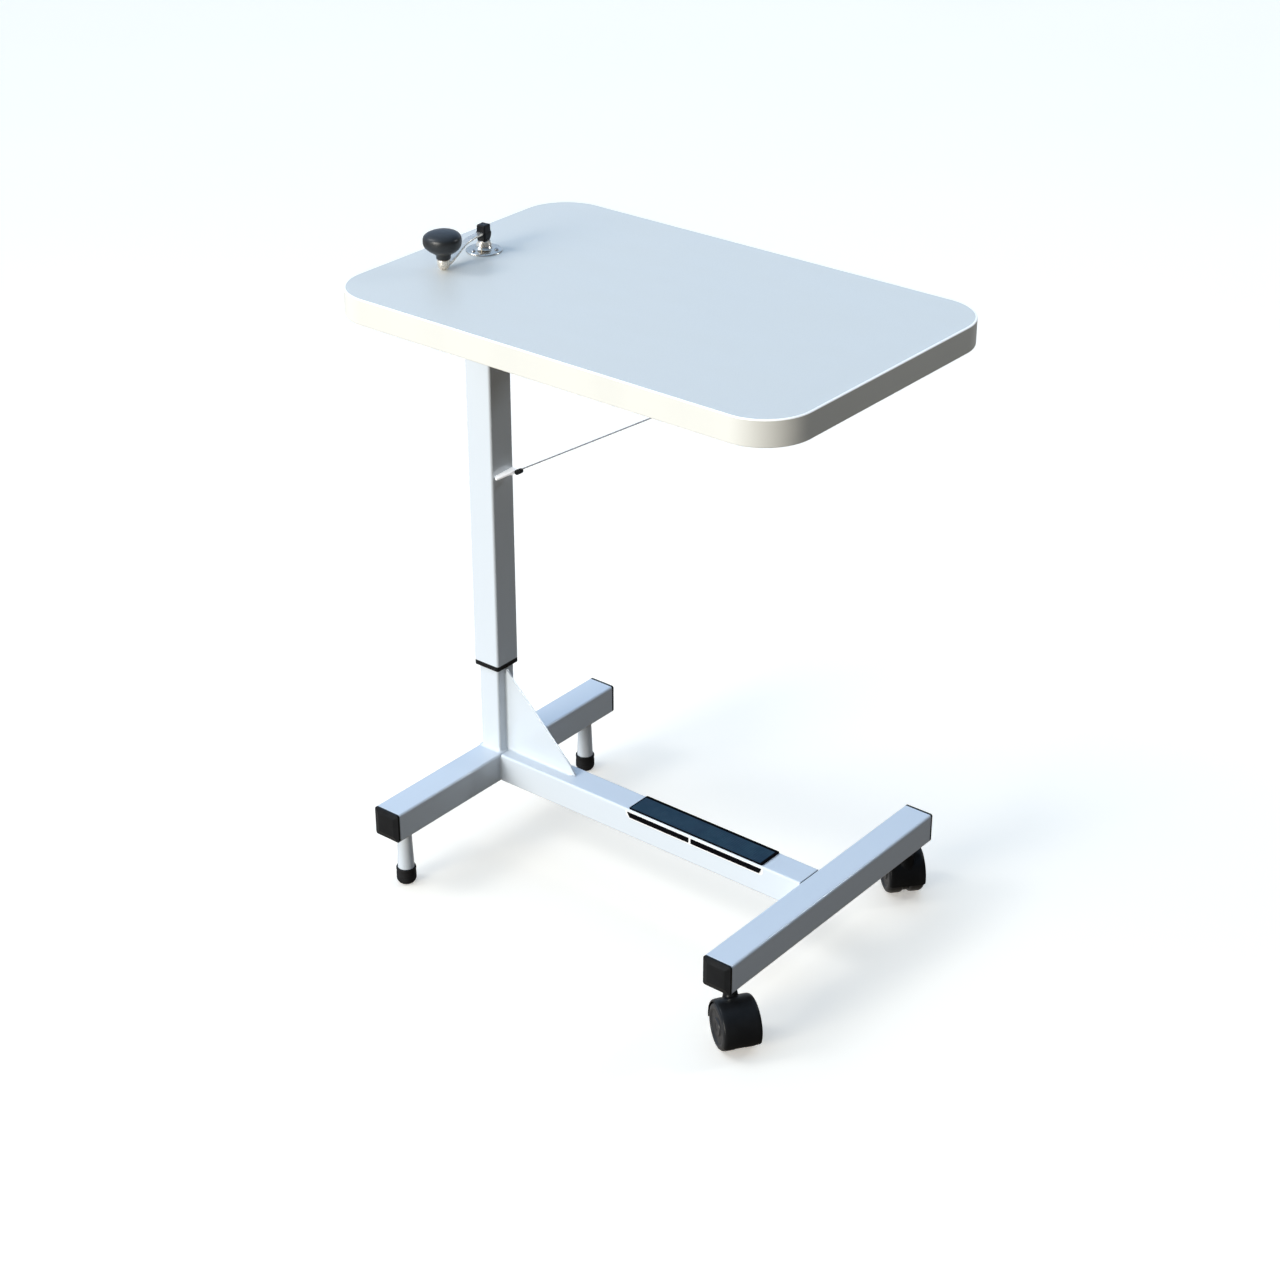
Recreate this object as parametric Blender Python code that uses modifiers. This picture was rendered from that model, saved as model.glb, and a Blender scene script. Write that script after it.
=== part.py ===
"""Overbed table: a crank raises its telescopic column, and its base has two rubber feet and two casters.

Metres, +Z up, floor at z = 0, origin under the centre of the table top. +X runs from the column to the free
end. The moving half of the column, the top and the crank rise 0.30 m from this lowest position.
"""

import math

import bmesh
import bpy
from mathutils import Matrix, Vector

# ---- driving dimensions ----
GAP = 0.0003            # between two pieces that touch
RUN = 0.00009           # radial clearance of a turning shaft
SLIDE = 0.0002          # each side of a sliding guide

TOP_L = 0.612
TOP_W = 0.400
TOP_Z = 0.760
TOP_T = 0.030
TOP_R = 0.058
BAND_T = 0.002
LAMINATE_T = 0.001
BOARD_Z0 = TOP_Z - TOP_T

COL_X = -0.2475         # column axis
TUBE = 0.038            # outer column and base tubes
WALL = 0.0015
TUBE_R = 0.003
TUBE_BORE = TUBE - 2 * WALL
BORE_R = TUBE_R - WALL
INNER = 0.030           # fixed inner column
INNER_TOP = 0.660
OUTER_Z0 = 0.2295       # bottom of the moving column's collar
COLLAR_H = 0.006

RAIL_Z0 = 0.0755
RAIL_Z1 = RAIL_Z0 + TUBE
RAIL_ZC = RAIL_Z0 + TUBE / 2
COL_CROSS_HALF = 0.203
WHEEL_X = 0.2455        # wheel cross tube and caster stems
WHEEL_CROSS_HALF = 0.200
CAP_T = 0.003
CAP_CROWN = 0.002       # raised panel of an end cap, beyond its flange
CROWN_INSET = 0.0026
CAP_SPIGOT = 0.009
SPIGOT_WALL = 0.001
LEGS = (("front", -0.174), ("rear", 0.166))
LEG_R = 0.0107          # at the foot
LEG_TOP_R = 0.0085
LEG_FOOT = 0.0045
FERRULE_R = 0.0122
FERRULE_H = 0.022

PLATE_T = 0.004
PLATE_SIDE = 0.100
PLATE_Z1 = BOARD_Z0 - GAP
PLATE_Z0 = PLATE_Z1 - PLATE_T
BEARER = 0.025
BEARER_X1 = COL_X + 0.440
BEARER_Z1 = PLATE_Z0 - GAP
FREE_BAR_X = BEARER_X1 - 0.022
FREE_BAR = (0.040, 0.300)

STAY_R = 0.0008
STAY_Y = 0.012
STAY_SLOPE = math.radians(31.4)
STAY_REF = (0.0403, 0.4970)     # a point of its line: distance from the column axis, height

SCREW_R = 0.008
SHAFT_R = 0.006
BUSH_R = 0.012
BUSH_FLANGE_Z0 = PLATE_Z0 - GAP - 0.003
THRUST_Z1 = BUSH_FLANGE_Z0 - GAP
THRUST_Z0 = THRUST_Z1 - 0.006
CRANK_R = 0.0743        # column axis to knob axis
CRANK_AZ = math.radians(-84.9)
PIN_R = 0.0028          # shaft's upper end, through the arm and the hub block
HUB = 0.0125
HUB_Z = (0.0150, 0.0310)        # this and the heights of crank() are above the table top
KNOB_R = 0.0225
STUD_R = 0.003

WHEEL_R = 0.028
TRAIL = 0.018
CASTERS = (("front", -0.174, math.radians(-34.0)), ("rear", 0.178, math.radians(139.0)))
STEM_R = 0.005
AXLE_R = 0.003
HOOD_R = 0.0312
HOOD_HALF = 0.0222
POCKET_R = 0.0290
WEB_HALF = 0.0027       # wall between the two wheels
WEB_R = 0.0255

# ---- scene, collections and materials ----
for old in list(bpy.data.objects):
    bpy.data.objects.remove(old)

PARTS = bpy.data.collections.new("overbed_table")
CUTTERS = bpy.data.collections.new("cutters")
bpy.context.scene.collection.children.link(PARTS)
bpy.context.scene.collection.children.link(CUTTERS)

FINISHES = {            # base colour, metallic, roughness
    "white_paint": ((0.86, 0.87, 0.88), 0.0, 0.35),
    "black_plastic": ((0.02, 0.02, 0.022), 0.0, 0.5),
    "black_rubber": ((0.015, 0.015, 0.016), 0.0, 0.8),
    "laminate": ((0.80, 0.82, 0.84), 0.0, 0.35),
    "edge_band": ((0.86, 0.83, 0.72), 0.0, 0.45),
    "board": ((0.55, 0.42, 0.27), 0.0, 0.8),
    "pad": ((0.015, 0.05, 0.09), 0.0, 0.7),
    "chrome": ((0.75, 0.75, 0.76), 1.0, 0.12),
    "steel": ((0.60, 0.60, 0.61), 1.0, 0.35),
    "zinc": ((0.62, 0.63, 0.65), 1.0, 0.4),
    "brass": ((0.72, 0.52, 0.22), 1.0, 0.35),
    "nylon": ((0.75, 0.74, 0.70), 0.0, 0.5),
}


def material(name, finish):
    """Each piece has its own material, so that one can be changed by itself."""
    colour, metallic, rough = FINISHES[finish]
    made = bpy.data.materials.new(name)
    made.use_nodes = True
    shader = made.node_tree.nodes["Principled BSDF"]
    shader.inputs["Base Color"].default_value = (*colour, 1.0)
    shader.inputs["Metallic"].default_value = metallic
    shader.inputs["Roughness"].default_value = rough
    return made


# ---- placing ----
ALONG_X = Matrix.Rotation(math.radians(90), 4, "Y")      # turns local z to world +x
ALONG_Y = Matrix.Rotation(math.radians(-90), 4, "X")     # local z to world +y
UPRIGHT = Matrix.Rotation(math.radians(90), 4, "X")      # a drawing in x and z: local y to world +z
PIVOTS = {}


def shift(x, y, z):
    return Matrix.Translation((x, y, z))


def pivot(name, matrix, parent=None):
    """Empty on a joint's axis, which carries the pieces that move with it."""
    empty = bpy.data.objects.new(name, None)
    empty.empty_display_size = 0.03
    PARTS.objects.link(empty)
    PIVOTS[name] = matrix
    hang(empty, matrix, parent)


def hang(obj, matrix, parent):
    """Puts an object at a world matrix, under a pivot if one is named."""
    if parent is None:
        obj.matrix_world = matrix
        return
    obj.parent = bpy.data.objects[parent]
    obj.matrix_basis = PIVOTS[parent].inverted() @ matrix


def enter(obj, finish, matrix, parent=None):
    """Links a piece with its finish, or a cutter where the finish is None."""
    hang(obj, matrix, parent)
    if finish is None:
        CUTTERS.objects.link(obj)
        obj.hide_render = True
        obj.display_type = "WIRE"
        return obj
    PARTS.objects.link(obj)
    obj.data.materials.append(material(obj.name, finish))
    return obj


# ---- shapes ----
def rounded_rect(width, depth, radius, steps=4):
    """Outline about the origin, anticlockwise."""
    points = []
    for sx, sy, start in ((1, 1, 0), (-1, 1, 90), (-1, -1, 180), (1, -1, 270)):
        for i in range(steps + 1):
            a = math.radians(start + 90 * i / steps)
            points.append((sx * (width / 2 - radius) + radius * math.cos(a),
                           sy * (depth / 2 - radius) + radius * math.sin(a)))
    return points


def flat(name, outlines, low, high, finish, matrix=shift(0, 0, 0), parent=None):
    """Flat outline, with any inner outlines as holes, from one local height to another."""
    curve = bpy.data.curves.new(name, "CURVE")
    curve.dimensions = "2D"
    curve.fill_mode = "BOTH"
    curve.extrude = (high - low) / 2
    for points in outlines:
        spline = curve.splines.new("POLY")
        spline.points.add(len(points) - 1)
        spline.use_cyclic_u = True
        for point, (x, y) in zip(spline.points, points):
            point.co = (x, y, 0.0, 1.0)
    obj = bpy.data.objects.new(name, curve)
    return enter(obj, finish, matrix @ shift(0, 0, (low + high) / 2), parent)


def as_mesh(obj):
    """A curve made a closed mesh in the same place, for a piece that is cut or joined."""
    bpy.context.view_layer.update()
    graph = bpy.context.evaluated_depsgraph_get()
    name = obj.name
    mesh = bpy.data.meshes.new_from_object(obj.evaluated_get(graph))
    bm = bmesh.new()
    bm.from_mesh(mesh)
    bmesh.ops.remove_doubles(bm, verts=bm.verts, dist=0.000001)
    bmesh.ops.recalc_face_normals(bm, faces=bm.faces)
    bm.to_mesh(mesh)
    bm.free()
    solid = bpy.data.objects.new(name + "_mesh", mesh)
    solid.parent = obj.parent
    solid.matrix_basis = obj.matrix_basis.copy()
    solid.hide_render = obj.hide_render
    solid.display_type = obj.display_type
    for home in obj.users_collection:
        home.objects.link(solid)
    bpy.data.objects.remove(obj)
    solid.name = name
    return solid


def turned(name, profile, finish, matrix, parent=None, steps=24, ring=False):
    """Profile of (radius, height) turned about local z: down the outer side and, on a ring, up its bore."""
    mesh = bpy.data.meshes.new(name)
    edges = [(i, i + 1) for i in range(len(profile) - 1)]
    if ring:
        edges.append((len(profile) - 1, 0))
    mesh.from_pydata([(r, 0.0, z) for r, z in profile], edges, [])
    obj = bpy.data.objects.new(name, mesh)
    screw = obj.modifiers.new("turn", "SCREW")
    screw.steps = steps
    screw.render_steps = steps
    screw.use_merge_vertices = True
    screw.merge_threshold = 0.00001
    screw.use_smooth_shade = True
    return enter(obj, finish, matrix, parent)


def plug(name, radius, low, high, matrix, parent=None, steps=24):
    """Round cutter."""
    return turned(name, [(0.0, high), (radius, high), (radius, low), (0.0, low)], None, matrix, parent, steps)


def box(name, low, high, finish, matrix=shift(0, 0, 0), parent=None):
    """Block between two local corners, its origin at its middle."""
    bm = bmesh.new()
    bmesh.ops.create_cube(bm, size=1.0)
    bmesh.ops.scale(bm, vec=[b - a for a, b in zip(low, high)], verts=bm.verts)
    mesh = bpy.data.meshes.new(name)
    bm.to_mesh(mesh)
    bm.free()
    obj = bpy.data.objects.new(name, mesh)
    middle = shift(*[(a + b) / 2 for a, b in zip(low, high)])
    return enter(obj, finish, matrix @ middle, parent)


def boolean(obj, other, operation="DIFFERENCE"):
    mod = obj.modifiers.new(other.name, "BOOLEAN")
    mod.operation = operation
    mod.object = other
    mod.solver = "EXACT"


def bevel(obj, width, steps=1):
    mod = obj.modifiers.new("edges", "BEVEL")
    mod.width = width
    mod.segments = steps
    mod.limit_method = "ANGLE"
    mod.angle_limit = math.radians(40)


def square_tube(name, side, length, matrix, parent=None):
    """White square tube from local z = 0 to its length."""
    bore = side - 2 * WALL
    outlines = [rounded_rect(side, side, TUBE_R), rounded_rect(bore, bore, BORE_R)]
    return flat(name, outlines, 0.0, length, "white_paint", matrix, parent)


# ---- base frame ----
def base_tubes():
    half = COL_CROSS_HALF - CAP_T - GAP
    square_tube("column_cross_tube", TUBE, 2 * half, shift(COL_X, -half, RAIL_ZC) @ ALONG_Y)
    x0 = COL_X + TUBE / 2 + GAP
    x1 = WHEEL_X - TUBE / 2 - GAP
    square_tube("base_rail", TUBE, x1 - x0, shift(x0, 0, RAIL_ZC) @ ALONG_X)
    half = WHEEL_CROSS_HALF - CAP_T - GAP
    cross = as_mesh(square_tube("wheel_cross_tube", TUBE, 2 * half, shift(WHEEL_X, -half, RAIL_ZC) @ ALONG_Y))
    for tag, y, _ in CASTERS:
        boolean(cross, plug("socket_hole_" + tag, 0.0080, 0.060, 0.090, shift(WHEEL_X, y, 0)))
    square_tube("inner_column", INNER, INNER_TOP - RAIL_Z1 - GAP, shift(COL_X, 0, RAIL_Z1 + GAP))


def inner_face(bm):
    """The face furthest down local z."""
    return min(bm.faces, key=lambda face: face.calc_center_median().z)


def grow(bm, inset, depth):
    """Insets the innermost face, then pulls it along local z."""
    face = inner_face(bm)
    bmesh.ops.inset_region(bm, faces=[face], thickness=inset)
    face = min((f for f in bm.faces if len(f.verts) > 4), key=lambda f: (round(f.calc_center_median().z, 6),
                                                                         f.calc_area()))
    pulled = bmesh.ops.extrude_face_region(bm, geom=[face])
    moved = [v for v in pulled["geom"] if isinstance(v, bmesh.types.BMVert)]
    bmesh.ops.delete(bm, geom=[face], context="FACES_ONLY")
    bmesh.ops.translate(bm, vec=(0.0, 0.0, depth), verts=moved)


def end_cap(name, x, end, sign):
    """Flange and raised crown over the tube's end, and a hollow spigot inside it. Local z points out of the tube."""
    bm = bmesh.new()
    bmesh.ops.create_cube(bm, size=1.0)
    bmesh.ops.scale(bm, vec=(TUBE, TUBE, CAP_T), verts=bm.verts)
    bmesh.ops.translate(bm, vec=(0.0, 0.0, CAP_T / 2), verts=bm.verts)
    upright = [e for e in bm.edges if abs(e.verts[0].co.z - e.verts[1].co.z) > CAP_T / 2]
    bmesh.ops.bevel(bm, geom=upright, offset=TUBE_R, segments=3, affect="EDGES", profile=0.5)
    outer = max(bm.faces, key=lambda face: face.calc_center_median().z)
    bmesh.ops.inset_region(bm, faces=[outer], thickness=CROWN_INSET, depth=CAP_CROWN)
    grow(bm, WALL + GAP, -CAP_SPIGOT)
    grow(bm, SPIGOT_WALL, CAP_SPIGOT)
    bmesh.ops.recalc_face_normals(bm, faces=bm.faces)
    mesh = bpy.data.meshes.new(name)
    bm.to_mesh(mesh)
    bm.free()
    out = shift(x, sign * (end - CAP_T), RAIL_ZC) @ Matrix.Rotation(math.radians(-90 * sign), 4, "X")
    enter(bpy.data.objects.new(name, mesh), "black_plastic", out)


def leg(tag, y):
    """Round leg, wider at its foot, welded under the cross tube and set in a cup-shaped rubber ferrule."""
    foot = shift(COL_X, y, 0)
    top = RAIL_Z0 - GAP
    turned("leg_" + tag, [(LEG_TOP_R - WALL, top), (LEG_TOP_R, top), (LEG_R, LEG_FOOT), (LEG_R - WALL, LEG_FOOT)],
           "white_paint", foot, ring=True)
    bore = LEG_R + GAP
    sole = LEG_FOOT - 0.0005
    turned("ferrule_" + tag,
           [(0.0, sole), (bore, sole), (bore, FERRULE_H), (FERRULE_R - 0.0006, FERRULE_H),
            (FERRULE_R, FERRULE_H - 0.0008), (FERRULE_R, 0.0060), (FERRULE_R - 0.0014, 0.0022),
            (FERRULE_R - 0.0038, 0.0), (0.0, 0.0)], "black_rubber", foot)


def gusset():
    """Web plate from the fixed column to the rail: rounded head, straight 45-degree edge, blunt toe."""
    foot = RAIL_Z1 + GAP
    x0 = INNER / 2 + GAP
    edge = [(0.1247, 0.0), (0.1243, 0.0022), (0.1168, 0.0124), (0.0766, 0.0524), (0.0447, 0.0841),
            (0.0340, 0.0945), (0.0270, 0.1006), (0.0215, 0.1080), (0.0180, 0.1118)]
    outline = [(x0, foot)] + [(x, foot + z) for x, z in edge] + [(x0, foot + 0.1127)]
    flat("column_gusset", [outline], -0.0015, 0.0015, "white_paint", shift(COL_X, 0, 0) @ UPRIGHT)


def foot_rest():
    """Mat on the rail's top, and two grip strips along each of its sides."""
    flat("foot_pad", [rounded_rect(0.197, 0.035, 0.0015, 2)], RAIL_Z1 + GAP, RAIL_Z1 + GAP + 0.0015, "pad",
         shift(COL_X + 0.321, 0, 0))
    low = 0.1039
    high = 0.1105
    thick = 0.0012
    for tag, sign in (("front", -1), ("rear", 1)):
        middle = shift(COL_X, sign * (TUBE / 2 + GAP + thick / 2), 0) @ UPRIGHT
        for part, x0, x1, left, right in (("a", 0.2216, 0.3138, 0.0040, 0.0), ("b", 0.3175, 0.4202, 0.0, 0.0030)):
            flat("rail_strip_" + tag + "_" + part, [[(x0 + left, low), (x1 - right, low), (x1, high), (x0, high)]],
                 -thick / 2, thick / 2, "black_rubber", middle)


def column_head():
    """Slide guide on the fixed column's head, and the nut inside it."""
    side = TUBE_BORE - 2 * SLIDE
    bore = INNER + 2 * GAP
    axis = shift(COL_X, 0, 0)
    flat("column_guide", [rounded_rect(side, side, BORE_R), rounded_rect(bore, bore, TUBE_R)], INNER_TOP - 0.032,
         INNER_TOP - 0.002, "nylon", axis)
    side = INNER - 2 * WALL - 2 * GAP
    nut = as_mesh(flat("lift_nut", [rounded_rect(side, side, BORE_R)], INNER_TOP - 0.022, INNER_TOP, "brass",
                       axis))
    boolean(nut, plug("nut_hole", SCREW_R + RUN, INNER_TOP - 0.03, INNER_TOP + 0.01, axis))


# ---- moving column and top ----
def moving_column():
    axis = shift(COL_X, 0, 0)
    z0 = OUTER_Z0 + COLLAR_H + GAP
    square_tube("outer_column", TUBE, PLATE_Z0 - GAP - z0, shift(COL_X, 0, z0), "lift_carriage")
    side = TUBE_BORE - 2 * GAP
    bore = INNER + 2 * SLIDE
    hole = rounded_rect(bore, bore, TUBE_R)
    collar = as_mesh(flat("column_collar", [rounded_rect(TUBE, TUBE, TUBE_R), hole], OUTER_Z0,
                          OUTER_Z0 + COLLAR_H, "black_plastic", axis, "lift_carriage"))
    sleeve = as_mesh(flat("collar_sleeve", [rounded_rect(side, side, BORE_R), hole], OUTER_Z0 + 0.001,
                          OUTER_Z0 + 0.035, None, axis, "lift_carriage"))
    boolean(collar, sleeve, "UNION")


def top_frame():
    """Plate on the column's head, bearer under the board's middle, and a flat bar at its free end."""
    carriage = "lift_carriage"
    column = shift(COL_X, 0, 0)
    plate = as_mesh(flat("mount_plate", [rounded_rect(PLATE_SIDE, PLATE_SIDE, 0.006)], PLATE_Z0, PLATE_Z1,
                         "white_paint", column, carriage))
    x0 = COL_X + TUBE / 2 + GAP
    middle = BEARER_Z1 - BEARER / 2
    square_tube("top_bearer", BEARER, BEARER_X1 - x0, shift(x0, 0, middle) @ ALONG_X, carriage)
    bar = as_mesh(flat("free_end_bar", [rounded_rect(*FREE_BAR, 0.006)], PLATE_Z0, PLATE_Z1, "white_paint",
                       shift(FREE_BAR_X, 0, 0), carriage))
    flat("bearer_cap", [rounded_rect(BEARER, BEARER, TUBE_R)], 0.0, 0.0025, "black_plastic",
         shift(BEARER_X1 + GAP, 0, middle) @ ALONG_X, carriage)
    return plate, bar


def board(plate, bar):
    """Core, laminate and edge band, with the crank shaft's hole and four wood screws from below."""
    carriage = "lift_carriage"
    inset = 2 * (BAND_T + GAP)
    sheet = rounded_rect(TOP_L - inset, TOP_W - inset, TOP_R - BAND_T - GAP, 8)
    here = shift(0, 0, 0)
    core = as_mesh(flat("board_core", [sheet], BOARD_Z0, TOP_Z - LAMINATE_T - GAP, "board", here, carriage))
    laminate = as_mesh(flat("top_laminate", [sheet], TOP_Z - LAMINATE_T, TOP_Z, "laminate", here, carriage))
    inner = rounded_rect(TOP_L - 2 * BAND_T, TOP_W - 2 * BAND_T, TOP_R - BAND_T, 8)
    band = as_mesh(flat("edge_band", [rounded_rect(TOP_L, TOP_W, TOP_R, 8), inner], BOARD_Z0, TOP_Z, "edge_band",
                        here, carriage))
    bevel(band, 0.0006)
    shaft_hole = plug("shaft_hole", BUSH_R + GAP, 0.70, 0.79, shift(COL_X, 0, 0))
    for piece in (plate, core, laminate):
        boolean(piece, shaft_hole)
    spots = (("column_front", COL_X + 0.034, -0.040, plate), ("column_rear", COL_X + 0.034, 0.040, plate),
             ("free_front", FREE_BAR_X, -0.130, bar), ("free_rear", FREE_BAR_X, 0.130, bar))
    for tag, x, y, piece in spots:
        spot = shift(x, y, 0)
        hole = plug("hole_" + tag, 0.0024, PLATE_Z0 - 0.01, BOARD_Z0 + 0.0165, spot, steps=12)
        boolean(core, hole)
        boolean(piece, hole)
        head = PLATE_Z0 - GAP
        turned("screw_" + tag,
               [(0.0, BOARD_Z0 + 0.016), (0.0010, BOARD_Z0 + 0.0145), (0.0020, BOARD_Z0 + 0.010), (0.0020, head),
                (0.0044, head), (0.0040, head - 0.0015), (0.0022, head - 0.0025), (0.0, head - 0.0027)],
               "zinc", spot, carriage, steps=12)


def bearing():
    """Flanged bush for the crank shaft, and the chrome escutcheon with its three screws."""
    carriage = "lift_carriage"
    axis = shift(COL_X, 0, 0)
    bore = SHAFT_R + RUN
    seat = PLATE_Z0 - GAP
    turned("bearing_bush", [(bore, TOP_Z - 0.0005), (BUSH_R, TOP_Z - 0.0005), (BUSH_R, seat), (0.0155, seat),
                            (0.0155, BUSH_FLANGE_Z0), (bore, BUSH_FLANGE_Z0)], "brass", axis, carriage, ring=True)
    bore = SHAFT_R + 2 * GAP
    face = TOP_Z + GAP
    turned("crank_escutcheon", [(bore, TOP_Z + 0.0062), (0.0080, TOP_Z + 0.0062), (0.0105, TOP_Z + 0.0026),
                                (0.0195, TOP_Z + 0.0020), (0.0208, TOP_Z + 0.0012), (0.0210, face), (bore, face)],
           "chrome", axis, carriage, ring=True)
    seat = TOP_Z + 0.0026
    for tag, degrees in (("a", 20), ("b", 140), ("c", 260)):
        a = math.radians(degrees)
        turned("escutcheon_screw_" + tag,
               [(0.0, seat + 0.0016), (0.0012, seat + 0.0013), (0.0021, seat + 0.0004), (0.0022, seat), (0.0, seat)],
               "steel", shift(COL_X + 0.0152 * math.cos(a), 0.0152 * math.sin(a), 0), carriage, steps=12)


def stay():
    """Thin diagonal rod from a lug on the column's face up to an eye under the bearer."""
    carriage = "lift_carriage"
    tilt = Matrix.Rotation(math.radians(90) - STAY_SLOPE, 4, "Y")       # local z along the rod, local x down from it

    def on_line(x):
        return Vector((COL_X + x, STAY_Y, STAY_REF[1] + (x - STAY_REF[0]) * math.tan(STAY_SLOPE)))

    low = on_line(0.0240)
    high = on_line(0.3655)
    wire = bpy.data.curves.new("stay_rod", "CURVE")
    wire.dimensions = "3D"
    wire.bevel_depth = STAY_R
    wire.bevel_resolution = 2
    wire.use_fill_caps = True
    line = wire.splines.new("POLY")
    line.points.add(1)
    line.points[1].co = (*(high - low), 1.0)
    enter(bpy.data.objects.new("stay_rod", wire), "steel", shift(*low), carriage)

    bore = STAY_R + GAP
    start = on_line(0.0293)
    length = (on_line(0.0388) - start).length
    sleeve = turned("stay_sleeve", [(0.0, length), (0.0026, length), (0.0032, length - 0.0040), (0.0032, 0.0),
                                    (0.0, 0.0)], "black_plastic", shift(*start) @ tilt @ shift(0.0010, 0, 0),
                    carriage, steps=16)
    boolean(sleeve, plug("sleeve_bore", bore, -0.01, 0.03, shift(*start) @ tilt, steps=12))

    at = on_line(0.3700)
    eye = box("stay_eye", (-0.0035, -0.004, -0.004), (0.007, 0.004, BEARER_Z1 - BEARER - GAP - at.z), "white_paint",
              shift(*at), carriage)
    boolean(eye, plug("eye_hole", bore, -0.04, 0.0005, shift(*on_line(0.3660)) @ tilt, steps=12))

    # The lug's front end is rounded off towards the column. The rod's socket hangs under its back end.
    rise = math.radians(1.7)
    lug = as_mesh(flat("stay_bracket", [[(0.0, -0.0122), (0.0016, -0.0155), (0.0040, -0.0178), (0.0062, -0.0186),
                                         (0.0074, -0.0125), (0.0082, -0.0039), (0.0092, 0.0018), (0.0085, 0.0085),
                                         (0.0083, 0.0151), (0.0, 0.0172)]], -0.0020, 0.0, "white_paint",
                       shift(COL_X + TUBE / 2 + GAP, 0, 0.4910) @ Matrix.Rotation(rise, 4, "X"), carriage))
    bottom = on_line(0.0205)
    reach = (on_line(0.0268) - bottom).length
    boolean(lug, plug("rod_socket", 0.0020, 0.0, reach, shift(*bottom) @ tilt, steps=16), "UNION")
    boolean(lug, plug("rod_way", bore, 0.0, 0.03, shift(*on_line(0.0236)) @ tilt, steps=12))


# ---- lead screw, crank and knob ----
def crank():
    pivoted = "crank_pivot"
    axis = shift(COL_X, 0, 0)
    neck = THRUST_Z0 - GAP
    low, high = HUB_Z
    turned("lead_screw",
           [(0.0, TOP_Z + high - 0.0055), (PIN_R - 0.0004, TOP_Z + high - 0.0055), (PIN_R, TOP_Z + high - 0.0060),
            (PIN_R, TOP_Z + low - GAP), (SHAFT_R - 0.0005, TOP_Z + low - GAP), (SHAFT_R, TOP_Z + 0.0080),
            (SHAFT_R, neck), (SCREW_R, neck), (SCREW_R, 0.3320), (SCREW_R - 0.002, 0.3300), (0.0, 0.3300)],
           "steel", axis, pivoted)
    bore = SHAFT_R + GAP
    turned("thrust_collar", [(bore, THRUST_Z1), (0.0130, THRUST_Z1), (0.0135, THRUST_Z1 - 0.0005),
                             (0.0135, THRUST_Z0 + 0.0005), (0.0130, THRUST_Z0), (bore, THRUST_Z0)], "steel", axis,
           pivoted, ring=True)
    here = shift(COL_X, 0, TOP_Z) @ Matrix.Rotation(CRANK_AZ, 4, "Z")
    hub = box("crank_hub", (-HUB / 2, -HUB / 2, low), (HUB / 2, HUB / 2, high), "black_plastic", here, pivoted)
    bevel(hub, 0.0012)
    boolean(hub, plug("hub_bore", PIN_R + GAP, -0.01, high - 0.0050, here))
    boolean(hub, box("arm_slot", (-0.0048, -0.0049, 0.0185), (0.0200, 0.0049, 0.0229), None, here, pivoted))

    # Arm: a strap that leaves its slot in the hub block level, then slopes down to a boss. Local +x runs to the knob.
    arm = bmesh.new()
    stations = ((-0.0045, 0.0046, 0.0225, 0.0036), (0.0120, 0.0046, 0.0225, 0.0036),
                (0.0260, 0.0046, 0.0222, 0.0026), (0.0360, 0.0046, 0.0202, 0.0024),
                (0.0460, 0.0047, 0.0160, 0.0026), (0.0560, 0.0050, 0.0116, 0.0030),
                (0.0650, 0.0055, 0.0084, 0.0034), (0.0725, 0.0052, 0.0074, 0.0034))
    rows = [[arm.verts.new((x, y, z)) for y, z in ((-half, top - thick), (half, top - thick), (half, top),
                                                   (-half, top))] for x, half, top, thick in stations]
    arm.faces.new(rows[0])
    arm.faces.new(rows[-1])
    for a, b in zip(rows, rows[1:]):
        for i in range(4):
            arm.faces.new((a[i], a[(i + 1) % 4], b[(i + 1) % 4], b[i]))
    bmesh.ops.recalc_face_normals(arm, faces=arm.faces)
    mesh = bpy.data.meshes.new("crank_arm")
    arm.to_mesh(mesh)
    arm.free()
    arm = enter(bpy.data.objects.new("crank_arm", mesh), "chrome", here, pivoted)
    tip = here @ shift(CRANK_R, 0, 0)
    boss = turned("arm_boss", [(0.0, 0.0122), (0.0064, 0.0122), (0.0072, 0.0114), (0.0072, 0.0060),
                               (0.0060, 0.0026), (0.0042, 0.0010), (0.0, 0.0010)], None, tip)
    boolean(arm, boss, "UNION")
    boolean(arm, plug("arm_bore", PIN_R + GAP, -0.01, 0.03, here))
    boolean(arm, plug("stud_hole", STUD_R + GAP, 0.0040, 0.03, tip, steps=16))
    turned("knob_stud", [(0.0, 0.0380), (0.0024, 0.0380), (STUD_R, 0.0374), (STUD_R, 0.0044), (0.0, 0.0044)],
           "steel", tip, pivoted)
    bore = STUD_R + RUN
    turned("crank_knob",
           [(0.0, 0.0445), (0.0080, 0.0441), (0.0150, 0.0428), (0.0200, 0.0400), (0.0221, 0.0370),
            (KNOB_R, 0.0345), (KNOB_R, 0.0300), (0.0205, 0.0262), (0.0162, 0.0222), (0.0104, 0.0187),
            (0.0084, 0.0160), (0.0082, 0.0127), (bore, 0.0127), (bore, 0.0388), (0.0, 0.0388)], "black_plastic",
           tip, "knob_pivot")


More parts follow.
